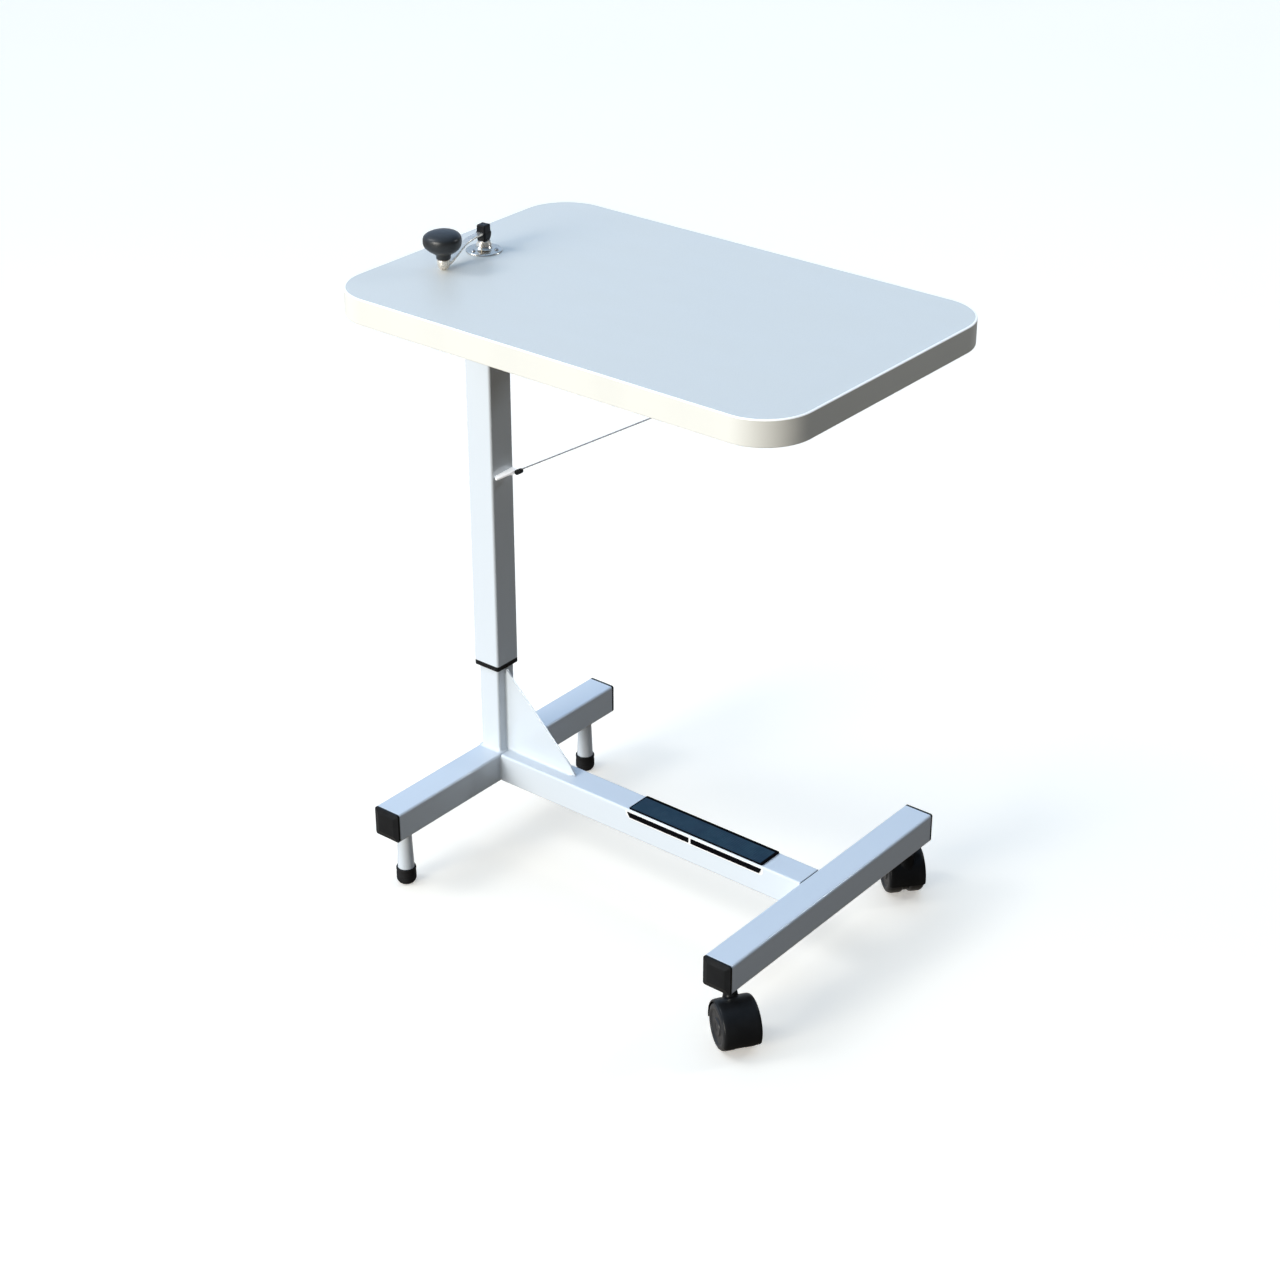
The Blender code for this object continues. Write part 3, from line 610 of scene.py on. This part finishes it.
def leg(tag):
    """Leg that widens to its foot, and a chamfered ferrule with two grooves and a lip round the leg."""
    low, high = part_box("leg_" + tag)
    axis = over("leg_" + tag)
    radius = (high.x - low.x) / 2
    ease = 0.0004
    profile = [(LEG_TOP_R - WALL, high.z), (LEG_TOP_R, high.z), (radius, low.z + ease),
               (radius - ease, low.z), (radius - WALL, low.z)]
    enter(turned(f"leg_{tag}_fine", profile, axis, hollow=True), "base", "white_paint", "leg_" + tag)
    weld_around("weld_leg_" + tag, "base", round_outline(LEG_TOP_R), BEAD["leg"],
                over("leg_" + tag, RAIL_LOW.z) @ UPSIDE_DOWN)

    low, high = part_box("ferrule_" + tag)
    outer = (high.x - low.x) / 2
    top = high.z
    bore = radius + SEAM
    lip = radius - 0.0003
    core = 0.001            # radius of the small flats that close the shape on its axis
    floor = 0.0042
    groove = 0.0004
    # (inset from the side, height)
    sides = [(0.0052, 0.0004), (0.0048, 0.0), (0.0038, 0.0), (0.0026, 0.0008), (0.0010, 0.0030),
             (0.0003, 0.0046), (0.0, 0.0060)]
    for z in (0.0090, 0.0120):
        sides += [(0.0, z - 0.0008), (groove, z - 0.0003), (groove, z + 0.0003), (0.0, z + 0.0008)]
    sides += [(0.0003, top - 0.0058), (0.0004, top - 0.0046), (0.0, top - 0.0036), (0.0, top - 0.0014),
              (0.0004, top - 0.0004), (0.0010, top)]
    profile = [(core, 0.0004)] + [(outer - inset, z) for inset, z in sides]
    profile += [(lip, top - 0.0001), (lip, top - 0.0010), (bore, top - 0.0022), (bore, floor), (core, floor)]
    enter(turned(f"ferrule_{tag}_fine", profile, axis), "base", "black_rubber", "ferrule_" + tag)


def foot_rest():
    """Ribbed navy mat, its black border wider towards +X and +Y, and grip strips on bright bezels."""
    low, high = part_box("foot_pad")
    size = extent("foot_pad")
    centre = middle("foot_pad")
    near = 0.0012
    far = 0.0036
    mat_x = size.x - near - far
    mat_y = size.y - near - far
    mat = Vector((centre.x + (near - far) / 2, centre.y + (near - far) / 2))
    outer = [(x + centre.x, y + centre.y) for x, y in rounded_rect(size.x, size.y, 0.0015, 4)]
    inner = [(x + mat.x, y + mat.y) for x, y in rounded_rect(mat_x, mat_y, 0.0008, 4)]
    enter(walled("foot_pad_border", inner, outer, low.z, high.z), "base", "grip")

    pitch = 0.0030
    sunk = 0.0002           # below the border's face
    swell = 0.00007         # half a rib's height
    round_y, round_z = 0.0006, 0.0002
    stations = 8            # in one rib
    count = int(mat_x / pitch) * stations
    half = mat_y / 2
    rings = []
    for i in range(count + 1):
        x = mat.x - mat_x / 2 + mat_x * i / count
        top = high.z - sunk - swell * (1 + math.cos(2 * math.pi * i / stations))
        section = ((-half, low.z), (half, low.z), (half, top - round_z), (half - round_y, top),
                   (round_y - half, top), (-half, top - round_z))
        rings.append([(x, mat.y + y, z) for y, z in section])
    enter(loft("foot_pad_mat", rings), "base", "foot_pad", "foot_pad")

    for tag, side in (("front", -1), ("rear", 1)):
        for part in ("a", "b"):
            node = f"rail_strip_{tag}_{part}"
            enter(refined(node, 0.0003, 2), "base", "grip", node)
        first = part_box(f"rail_strip_{tag}_a")
        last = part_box(f"rail_strip_{tag}_b")
        x0, x1 = first[0].x - 0.0032, last[1].x + 0.0020
        z0, z1 = first[0].z - 0.0024, first[1].z + 0.0010
        outline = [(x0 + 0.0062, z0), (x1 - 0.0020, z0), (x1, z0 + 0.0030), (x1, z1), (x0, z1),
                   (x0 + 0.0008, z0 + 0.0040)]
        here = shift(0, side * TUBE / 2, 0) @ UPRIGHT
        bezel = slab(f"rail_bezel_{tag}", outline, -0.00045, 0.00025, here, 0.0002)
        enter(bezel, "base", "bright_paint")


# ---- moving column and top ----
def moving_column():
    square_tube("outer_column", 2, "top")
    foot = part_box("column_collar")[0].z
    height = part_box("outer_column")[0].z - foot - SEAM
    bore = (TUBE - INNER) / 2 - 0.0002
    lip = 0.0006
    ease = 0.0004
    sleeve = 0.035          # the collar reaches this high, inside the tube
    inside = WALL + SEAM
    profile = [(bore, 0.0), (lip, 0.0), (lip / 4, lip / 2), (0.0, 0.0012), (0.0, height - ease),
               (ease, height), (inside, height), (inside, sleeve - 0.001), (WALL + 0.001, sleeve),
               (bore, sleeve)]
    collar = pillow("column_collar_fine", TUBE, TUBE, TUBE_R, profile, shift(COLUMN.x, 0, foot), hollow=True)
    enter(collar, "top", "black_plastic", "column_collar")


def board():
    """Edge band and its upper lip, which is painted lighter than the band and glows as a painted highlight,
    and laminate, core and backing, bored for the crank's bush.
    """
    low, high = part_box("edge_band")
    width, depth = high.x - low.x, high.y - low.y
    here = over("edge_band")
    soft = 0.0013
    steps = 24
    arc = [math.radians(90 * i / 5) for i in range(6)]
    lip = high.z - soft
    profile = [(BAND_T, low.z)]
    profile += [(soft * (1 - math.sin(a)), low.z + soft * (1 - math.cos(a))) for a in arc]
    profile += [(0.0, lip), (BAND_T, lip)]
    band = pillow("edge_band_fine", width, depth, TOP_R, profile, here, steps, hollow=True)
    enter(band, "top", "edge_band", "edge_band")
    # The lip's finish is a painted highlight: lighter than the band, and glowing
    hair = 0.00002
    profile = [(BAND_T, lip + hair), (0.0, lip + hair)]
    profile += [(soft * (1 - math.cos(a)), high.z - soft * (1 - math.sin(a))) for a in arc[1:]]
    profile += [(BAND_T, high.z)]
    enter(pillow("edge_band_lip", width, depth, TOP_R, profile, here, steps, hollow=True), "top", "band_lip_painted_highlight")

    inset = BAND_T + 0.00005
    outline = rounded_rect(width - 2 * inset, depth - 2 * inset, TOP_R - inset, steps)
    bush = middle("bearing_bush")
    bore = 0.0123
    backing = 0.0008
    glue = 0.0001
    under, face = (corner.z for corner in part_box("top_laminate"))
    sheet = holed_sheet("top_laminate_fine", outline, bush, bore, under, face)
    enter(sheet, "top", "laminate", "top_laminate")
    core = holed_sheet("board_core_fine", outline, bush, bore, low.z + backing, under - glue)
    enter(core, "top", "board", "board_core")
    enter(holed_sheet("board_backing", outline, bush, bore, low.z, low.z + backing - glue), "top", "backing")


def cross_recess(size, depth, matrix):
    """Cutters for a screw driver: two crossed blades that taper to their tips."""
    clear = 0.002           # they stand this far out of the head
    tip = 0.36 * size
    slim = 0.24
    blades = []
    for turn in (0, 90):
        spin = matrix @ Matrix.Rotation(math.radians(turn), 4, "Z")
        rings = []
        for half, z in ((size / 2, clear), (size / 2, 0.0), (tip, -depth)):
            thin = half * slim
            rings.append([(half, thin, z), (-half, thin, z), (-half, -thin, z), (half, -thin, z)])
        blades.append(loft(f"blade_{turn}", rings, spin))
    return blades


def wood_screw(node):
    """Pan head under the mount plate, with a driver's recess, and a threaded shank up into the board."""
    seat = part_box("mount_plate")[0].z
    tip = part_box(node)[1].z
    # (radius, depth below the plate)
    dome = ((0.0020, 0.0), (0.0044, 0.0001), (0.0043, 0.0007), (0.0038, 0.0015), (0.0030, 0.0021),
            (0.0018, 0.0025), (0.0006, 0.0026))
    head = turned(node + "_head", [(radius, seat - down) for radius, down in dome], over(node), 40)
    flip = Matrix.Rotation(math.radians(180), 4, "X")
    head = carved(head, *cross_recess(0.0044, 0.0016, over(node, seat - 0.0024) @ flip))
    core, crest, flank = 0.0013, 0.0021, 0.0005
    pitch = 0.0014
    first = tip - 0.0025
    shank = [(0.0004, tip), (0.0010, tip - 0.0015)]
    for i in range(9):
        z = first - pitch * i
        shank += [(core, z + flank), (crest, z), (core, z - flank)]
    shank += [(0.0016, tip - 0.0160), (0.0016, seat - 0.0002)]
    shaft = turned(node + "_shaft", shank, over(node), 24)
    enter(joined(node + "_fine", head, shaft), "top", "zinc", node)


def escutcheon_screw(node):
    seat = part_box(node)[0].z
    # (radius, height)
    dome = ((0.0022, -0.0003), (0.0022, 0.0004), (0.0019, 0.0010), (0.0013, 0.0014), (0.0004, 0.0016))
    head = turned(node + "_head", [(radius, seat + up) for radius, up in dome], over(node), 36)
    head = carved(head, *cross_recess(0.0026, 0.0010, over(node, seat + 0.0014)))
    enter(joined(node + "_fine", head), "top", "steel", node)


def top_frame():
    # The stay bracket's finish is painted light: lighter than the frame's paint, and glowing
    for node, soft, look in (("mount_plate", 0.0006, "white_paint"), ("free_end_bar", 0.0006, "white_paint"),
                             ("stay_eye", 0.0006, "white_paint"), ("stay_bracket", 0.0004, "lug_white_painted_light")):
        enter(refined(node, soft), "top", look, node)
    square_tube("top_bearer", 0, "top")
    low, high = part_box("bearer_cap")
    side = high.y - low.y
    thick = high.x - low.x
    profile = [(0.0002, 0.0), (0.0, 0.0002), (0.0, 0.0009), (0.0004, 0.0013), (0.0034, thick - 0.0003),
               (0.0042, thick)]
    here = shift(low.x, 0, (low.z + high.z) / 2) @ ALONG[0]
    cap = pillow("bearer_cap_fine", side, side, TUBE_R, profile, here)
    enter(cap, "top", "black_plastic", "bearer_cap")
    weld_around("weld_column_head", "top", square_outline(TUBE, TUBE_R), BEAD["column_head"],
                shift(COLUMN.x, 0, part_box("mount_plate")[0].z) @ UPSIDE_DOWN)


def stay():
    """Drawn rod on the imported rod's line, and its moulded sleeve, which hangs a little below that line."""
    low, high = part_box("stay_rod")
    radius = (high.y - low.y) / 2
    y = (high.y + low.y) / 2
    slope = math.atan2(high.z - low.z - 2 * radius, high.x - low.x)
    side = radius * math.sin(slope)
    rise = radius * math.cos(slope)
    start = Vector((low.x + side, y, low.z + rise))
    end = Vector((high.x - side, y, high.z - rise))
    length = (end - start).length
    here = Matrix.Translation(start) @ Matrix.Rotation(math.radians(90) - slope, 4, "Y")
    tip = radius * 0.6
    ease = radius * 0.5
    profile = [(tip, 0.0), (radius, ease), (radius, length - ease), (tip, length)]
    enter(turned("stay_rod_fine", profile, here, 24), "top", "steel", "stay_rod")

    low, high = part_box("stay_sleeve")
    outer = (high.y - low.y) / 2
    along = (middle("stay_sleeve") - start).length - 0.0010
    foot, head = along - 0.0051, along + 0.0051
    bore = radius + SEAM
    drop = 0.0013
    profile = [(outer - 0.0008, foot), (outer - 0.0002, foot + 0.0002), (outer, foot + 0.0008),
               (outer, head - 0.0036), (outer - 0.0002, head - 0.0022), (outer - 0.0004, head - 0.0003),
               (outer - 0.0006, head)]
    rings = [circle(bore, foot)]
    rings += [[(x + drop, y, z) for x, y, z in circle(r, z)] for r, z in profile]
    rings.append(circle(bore, head))
    enter(loft("stay_sleeve_fine", rings, here, hollow=True), "top", "black_plastic", "stay_sleeve")


# ---- crank ----
def escutcheon():
    """Round cover plate that rises to a short collar round the crank's shaft."""
    low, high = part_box("crank_escutcheon")
    radius = (high.x - low.x) / 2
    foot, top = low.z, high.z
    bore = 0.0066
    profile = [(bore, top), (0.0076, top), (0.0081, top - 0.0003), (0.0086, top - 0.0014),
               (0.0096, top - 0.0028), (0.0110, top - 0.0036), (0.0190, foot + 0.0017),
               (0.0200, foot + 0.0014), (0.0207, foot + 0.0009), (radius, foot + 0.0003),
               (radius - 0.0001, foot), (bore, foot)]
    plate = turned("crank_escutcheon_fine", profile, shift(COLUMN.x, 0, 0), 96, hollow=True)
    enter(plate, "top", "chrome", "crank_escutcheon")


def between(stations, x):
    """Values at x on a smooth line through the stations, whose first value is their x."""
    last = len(stations) - 1
    after = next(i for i, station in enumerate(stations) if station[0] >= x or i == last)
    after = max(after, 1)
    a, b = stations[after - 1], stations[after]
    before = stations[max(after - 2, 0)]
    beyond = stations[min(after + 1, last)]
    span = b[0] - a[0]
    t = (x - a[0]) / span
    values = []
    for i in range(1, len(a)):
        slope_a = (b[i] - before[i]) / (b[0] - before[0]) * span
        slope_b = (beyond[i] - a[i]) / (beyond[0] - a[0]) * span
        values.append((2 * t ** 3 - 3 * t ** 2 + 1) * a[i] + (t ** 3 - 2 * t ** 2 + t) * slope_a
                      + (3 * t ** 2 - 2 * t ** 3) * b[i] + (t ** 3 - t ** 2) * slope_b)
    return values


def crank():
    """Strap arm that leaves the hub block level and slopes down to the boss under the knob."""
    axis = shift(COLUMN.x, 0, 0)
    stud = middle("knob_stud")
    reach = Vector((stud.x - COLUMN.x, stud.y, 0))
    turn = Matrix.Rotation(math.atan2(reach.y, reach.x), 4, "Z")
    arm = axis @ turn
    tip = arm @ shift(reach.length, 0, 0)
    low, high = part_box("crank_arm")
    # (distance from the column's axis, drop from the arm's level end, half width, thickness)
    stations = ((0.0050, 0.0, 0.0045, 0.0026), (0.0200, 0.0, 0.0045, 0.0024),
                (0.0360, 0.0021, 0.0046, 0.0024), (0.0460, 0.0062, 0.0047, 0.0027),
                (0.0560, 0.0107, 0.0050, 0.0031), (0.0650, 0.0140, 0.0055, 0.0034),
                (0.0720, 0.0151, 0.0054, 0.0034))
    first, last = stations[0][0], stations[-1][0]
    count = 36
    rings = []
    for i in range(count + 1):
        x = first + (last - first) * i / count
        drop, half, thick = between(stations, x)
        section = rounded_rect(2 * half, thick, thick * 0.36, 4)
        rings.append([(x, y, high.z - drop - thick / 2 + h) for y, h in section])
    blade = loft("blade", rings, arm)

    # (radius, height)
    cup = ((0.0028, 0.0), (0.0042, 0.0001), (0.0053, 0.0008), (0.0063, 0.0024), (0.0070, 0.0044),
           (0.0072, 0.0062), (0.0072, 0.0102), (0.0069, 0.0109), (0.0062, 0.0112), (0.0034, 0.0112))
    boss = turned("boss", [(radius, low.z + up) for radius, up in cup], tip)
    foot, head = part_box("crank_hub")
    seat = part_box("crank_escutcheon")[1].z + SEAM
    under = foot.z - 0.0033
    bore = 0.0064
    profile = [(bore, seat), (0.0086, seat), (0.0090, seat + 0.0005), (0.0086, seat + 0.0017),
               (0.0078, seat + 0.0029), (0.0074, seat + 0.0041), (0.0074, under), (bore, under)]
    skirt = turned("skirt", profile, axis, 72, hollow=True)
    enter(joined("crank_arm_fine", blade, boss, skirt), "crank", "satin_chrome", "crank_arm")

    height = head.z - foot.z
    # (inset, height): tapered to its foot, widest a third of the way up, dished on top
    profile = [(0.0020, -0.0030), (0.0012, -0.0027), (0.0006, -0.0010), (-0.0002, 0.0018),
               (-0.0006, 0.0038), (-0.0007, 0.0062), (-0.0003, 0.0074), (0.0003, 0.0080),
               (0.0004, height - 0.0018), (0.0007, height - 0.0008), (0.0014, height - 0.0002),
               (0.0022, height), (0.0044, height), (0.0048, height - 0.0004)]
    block = pillow("crank_hub_fine", HUB, HUB, 0.0020, profile, shift(COLUMN.x, 0, foot.z) @ turn, 6)
    enter(block, "crank", "black_plastic", "crank_hub")

    low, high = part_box("knob_stud")
    radius = (high.x - low.x) / 2
    profile = [(radius - 0.0007, high.z), (radius, high.z - 0.0007), (radius, low.z + 0.0003),
               (radius - 0.0003, low.z)]
    enter(turned("knob_stud_fine", profile, tip, 32), "crank", "steel", "knob_stud")


def knob():
    """Thick mushroom knob with three soft lobes, its underside a funnel down to the neck."""
    low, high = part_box("crank_knob")
    reach = (high.y - low.y) / 2
    tall = high.z - low.z
    # (radius, height, how far the lobes show)
    profile = ((0.0031, 0.0, 0), (0.0076, 0.0, 0), (0.0082, 0.0006, 0), (0.0082, 0.0030, 0),
               (0.0086, 0.0044, 0.1), (0.0103, 0.0060, 0.3), (0.0132, 0.0078, 0.6), (0.0162, 0.0096, 0.8),
               (0.0189, 0.0118, 1), (0.0208, 0.0138, 1), (0.0219, 0.0160, 1), (0.0225, 0.0184, 1),
               (0.0225, 0.0212, 1), (0.0222, 0.0236, 1), (0.0214, 0.0256, 1), (0.0200, 0.0272, 1),
               (0.0177, 0.0288, 0.9), (0.0147, 0.0301, 0.7), (0.0108, 0.0310, 0.5), (0.0062, 0.0316, 0.2),
               (0.0016, tall, 0))
    lobes = 3
    depth = 0.07
    toward = math.radians(20)
    steps = 96
    rings = []
    for radius, z, show in profile:
        ring = []
        for i in range(steps):
            a = 2 * math.pi * i / steps
            r = min(radius, reach) * (1 - depth * show * (1 - math.cos(lobes * (a + toward))) / 2)
            ring.append((r * math.cos(a), r * math.sin(a), low.z + z))
        rings.append(ring)
    enter(loft("crank_knob_fine", rings, over("knob_stud")), "knob", "knob_black", "crank_knob")


# ---- casters ----
# (radius, distance out along the axle)
WHEEL = ((0.0010, 0.0211), (0.0046, 0.0212), (0.0052, 0.0217), (0.0092, 0.0223), (0.0100, 0.0223),
         (0.0106, 0.0218), (0.0112, 0.0210), (0.0122, 0.0207), (0.0186, 0.0206), (0.0196, 0.0209),
         (0.0204, 0.0217), (0.0212, 0.0223), (0.0222, 0.0224), (0.0242, 0.0222), (0.0256, 0.0215),
         (0.0267, 0.0203), (0.0275, 0.0187), (0.0280, 0.0166), (0.0280, 0.0076), (0.0276, 0.0056),
         (0.0266, 0.0043), (0.0252, 0.0039), (0.0031, 0.0037))


def hood_and_web(axle):
    """Shell that runs round over both wheels, and the flat web between them."""
    half = 0.0222
    # (distance along the axle, radius): the outside across, then the inside back
    shoulder = [(-half + 0.0002, 0.0283), (-half, 0.0287), (-half + 0.0004, 0.0294),
                (-half + 0.0014, 0.0303), (-half + 0.0030, 0.0309), (-half + 0.0060, 0.0312)]
    inside = [(half - 0.0012, 0.0283), (half - 0.0024, 0.0288), (half - 0.0050, 0.0290)]
    section = shoulder + [(-y, r) for y, r in reversed(shoulder)]
    section += inside + [(-y, r) for y, r in reversed(inside)]
    first = math.radians(-23)
    last = math.radians(190.5)
    count = 72
    rings = []
    for i in range(count + 1):
        a = first + (last - first) * i / count
        rings.append([(r * math.cos(a), -r * math.sin(a), y) for y, r in section])
    hood = loft("hood", rings, axle)
    under_hood, in_the_open = 0.0292, 0.0255
    web_half = 0.0025
    outline = []
    for i in range(120):
        a = first + math.radians(3 * i)
        r = under_hood if a <= last else in_the_open
        outline.append((r * math.cos(a), -r * math.sin(a)))
    web = loft("web", [[(x, y, z) for x, y in outline] for z in (-web_half, web_half)], axle)
    return hood, web


def caster(tag):
    """Hooded twin-wheel caster. Local z is the stem, and local +x runs to the axle."""
    body = "caster_" + tag
    stem = middle("caster_stem_" + tag)
    axle_at = middle("caster_axle_" + tag)
    trail = Vector((axle_at.x - stem.x, axle_at.y - stem.y, 0))
    swivel = shift(stem.x, stem.y, 0) @ Matrix.Rotation(math.atan2(trail.y, trail.x), 4, "Z")
    axle = swivel @ shift(trail.length, 0, axle_at.z) @ ALONG[1]
    hood, web = hood_and_web(axle)

    # The boss under the stem starts inside the hood's round top
    seam_r = 0.0302
    steps = 64
    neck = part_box("caster_housing_" + tag)[1].z
    rings = []
    for level, radius in ((0, 0.0096), (0.35, 0.0086), (0.7, 0.0080), (0.95, 0.0078), (1, 0.0072)):
        ring = []
        for i in range(steps):
            a = 2 * math.pi * i / steps
            x, y = radius * math.cos(a), radius * math.sin(a)
            foot = axle_at.z + math.sqrt(max(0.0, seam_r ** 2 - (x - trail.length) ** 2))
            ring.append((x, y, foot + (neck - foot) * level))
        rings.append(ring)
    boss = loft("boss", rings, swivel)
    housing = joined(f"caster_housing_{tag}_fine", hood, web, boss)
    enter(housing, body, "black_plastic", "caster_housing_" + tag)

    low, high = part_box("caster_stem_" + tag)
    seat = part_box("caster_socket_" + tag)[0].z - SEAM
    profile = [(0.0040, high.z), (0.0048, high.z - 0.0008), (0.0050, high.z - 0.0016), (0.0050, seat),
               (0.0076, seat), (0.0080, seat - 0.0004), (0.0080, seat - 0.0025), (0.0076, seat - 0.0029),
               (0.0050, seat - 0.0029), (0.0050, low.z), (0.0010, low.z)]
    enter(turned(f"caster_stem_{tag}_fine", profile, swivel), body, "zinc", "caster_stem_" + tag)

    for side, flip in (("left", 0), ("right", 180)):
        node = f"caster_wheel_{tag}_{side}"
        outward = axle @ Matrix.Rotation(math.radians(flip), 4, "X")
        enter(turned(node + "_fine", WHEEL, outward, 72), f"wheel_{tag}_{side}", "wheel_tread", node)


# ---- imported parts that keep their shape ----
def kept(look, *nodes):
    """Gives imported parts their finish. They keep their shape, and points that coincide are merged."""
    for node in nodes:
        mesh = NODES[node].data
        mesh.materials.clear()
        mesh.materials.append(FINISH[look])
        weld = NODES[node].modifiers.new("weld", "WELD")
        weld.merge_threshold = SAME_POINT


# ---- studio ----
def add_sun(name, direction, strength, colour, spread):
    """Distant soft light that shines from a direction."""
    light = bpy.data.lights.new(name, "SUN")
    light.energy = strength
    light.color = colour
    light.angle = math.radians(spread)
    obj = bpy.data.objects.new(name, light)
    obj.rotation_euler = Vector(direction).to_track_quat("Z", "Y").to_euler()
    bpy.context.scene.collection.objects.link(obj)


def add_panel(name, direction, size, power, colour):
    """Square softbox that faces the table's middle from 3 m away."""
    light = bpy.data.lights.new(name, "AREA")
    light.energy = power
    light.color = colour
    light.size = size
    obj = bpy.data.objects.new(name, light)
    away = Vector(direction).normalized()
    target = Vector((0, 0, 0.4))
    distance = 3.0
    obj.location = target + away * distance
    obj.rotation_euler = away.to_track_quat("Z", "Y").to_euler()
    bpy.context.scene.collection.objects.link(obj)


def sky(tree, height, stops):
    """Background whose colour runs with height, from straight down to straight up."""
    back = tree.nodes.new("ShaderNodeBackground")
    tree.links.new(ramped(tree, height, stops), back.inputs["Color"])
    return back.outputs["Background"]


def mix(tree, factor, first, second):
    mixed = tree.nodes.new("ShaderNodeMixShader")
    tree.links.new(factor, mixed.inputs["Fac"])
    tree.links.new(first, mixed.inputs[1])
    tree.links.new(second, mixed.inputs[2])
    return mixed.outputs["Shader"]


def add_world():
    """Pale room: bluish above, bright towards -X, dim and warm towards +X. The camera sees it plain."""
    world = bpy.data.worlds.new("studio")
    bpy.context.scene.world = world
    world.use_nodes = True
    tree = world.node_tree
    where = tree.nodes.new("ShaderNodeTexCoord")
    parts = tree.nodes.new("ShaderNodeSeparateXYZ")
    tree.links.new(where.outputs["Generated"], parts.inputs["Vector"])
    height = tree.nodes.new("ShaderNodeMapRange")
    height.inputs["From Min"].default_value = -1.0
    tree.links.new(parts.outputs["Z"], height.inputs["Value"])
    bright = sky(tree, height.outputs["Result"], (
        (0.0, (0.34, 0.31, 0.27)), (0.46, (0.46, 0.46, 0.46)),
        (0.56, (0.58, 0.74, 0.96)), (1.0, (0.40, 0.64, 1.00))))
    dim = sky(tree, height.outputs["Result"], (
        (0.0, (0.112, 0.096, 0.074)), (0.50, (0.124, 0.108, 0.088)),
        (0.75, (0.122, 0.122, 0.120)), (1.0, (0.22, 0.37, 0.58))))
    side = tree.nodes.new("ShaderNodeMapRange")
    side.interpolation_type = "SMOOTHSTEP"
    side.inputs["From Min"].default_value = -0.35
    side.inputs["From Max"].default_value = 0.42
    tree.links.new(parts.outputs["X"], side.inputs["Value"])
    plain = tree.nodes["Background"]
    plain.inputs["Color"].default_value = (0.93, 0.94, 0.95, 1.0)
    path = tree.nodes.new("ShaderNodeLightPath")
    lit = mix(tree, side.outputs["Result"], bright, dim)
    seen = mix(tree, path.outputs["Is Camera Ray"], lit, plain.outputs["Background"])
    tree.links.new(seen, tree.nodes["World Output"].inputs["Surface"])


def add_floor():
    """Wide matt floor, lit a little from within so that it stays white round the contact shadows."""
    bm = bmesh.new()
    bmesh.ops.create_grid(bm, x_segments=8, y_segments=8, size=40.0)
    mesh = bpy.data.meshes.new("floor")
    bm.to_mesh(mesh)
    bm.free()
    floor = bpy.data.objects.new("floor", mesh)
    bpy.context.scene.collection.objects.link(floor)
    made, tree, shader = new_tree("floor", 0.0)
    tint(tree, shader, noise(tree, 1.5), ((0.3, (0.89, 0.82, 0.71)), (0.7, (0.91, 0.84, 0.73))))
    shader.inputs["Roughness"].default_value = 0.9
    shader.inputs["Specular IOR Level"].default_value = 0.1
    shader.inputs["Emission Color"].default_value = (1.0, 0.99, 0.98, 1.0)
    shader.inputs["Emission Strength"].default_value = 0.34
    mesh.materials.append(made)
    floor.visible_diffuse = False
    floor.visible_glossy = False


def add_camera():
    """Looks down at the front and the free end, so +X runs to the right and comes nearer."""
    data = bpy.data.cameras.new("camera")
    data.lens = 72.48
    data.sensor_width = 36.0
    camera = bpy.data.objects.new("camera", data)
    below_level = 28.376
    heading = 38.743
    camera.location = (1.6206, -2.0473, 1.7544)
    camera.rotation_euler = (math.radians(90 - below_level), 0.0, math.radians(heading))
    bpy.context.scene.collection.objects.link(camera)
    bpy.context.scene.camera = camera


def studio():
    add_camera()
    add_floor()
    add_world()
    add_sun("key", direction=(-0.14, -0.96, 0.22), strength=2.85, colour=(1.0, 0.962, 0.872), spread=26)
    add_sun("sky", direction=(-0.32, 0.05, 0.95), strength=0.38, colour=(0.92, 0.97, 1.0), spread=80)
    add_panel("edge", direction=(-0.55, -0.475, 0.69), size=0.9, power=20, colour=(1.0, 1.0, 1.0))
    add_panel("rim", direction=(0.475, 0.686, 0.55), size=0.35, power=12, colour=(0.9, 0.96, 1.0))
    bpy.context.scene.view_settings.view_transform = "Standard"


base_frame()
gusset()
for tag in ("front", "rear"):
    end_cap("cap_column_" + tag)
    end_cap("cap_wheel_" + tag)
    leg(tag)
    caster(tag)
foot_rest()
moving_column()
board()
top_frame()
for tag in ("column_front", "column_rear", "free_front", "free_rear"):
    wood_screw("screw_" + tag)
for tag in ("a", "b", "c"):
    escutcheon_screw("escutcheon_screw_" + tag)
stay()
escutcheon()
crank()
knob()
kept("brass", "lift_nut", "bearing_bush")
kept("guide_nylon", "column_guide")
kept("steel", "thrust_collar")
kept("screw_steel", "lead_screw")
kept("zinc", "caster_axle_front", "caster_axle_rear")
kept("black_plastic", "caster_socket_front", "caster_socket_rear")
studio()
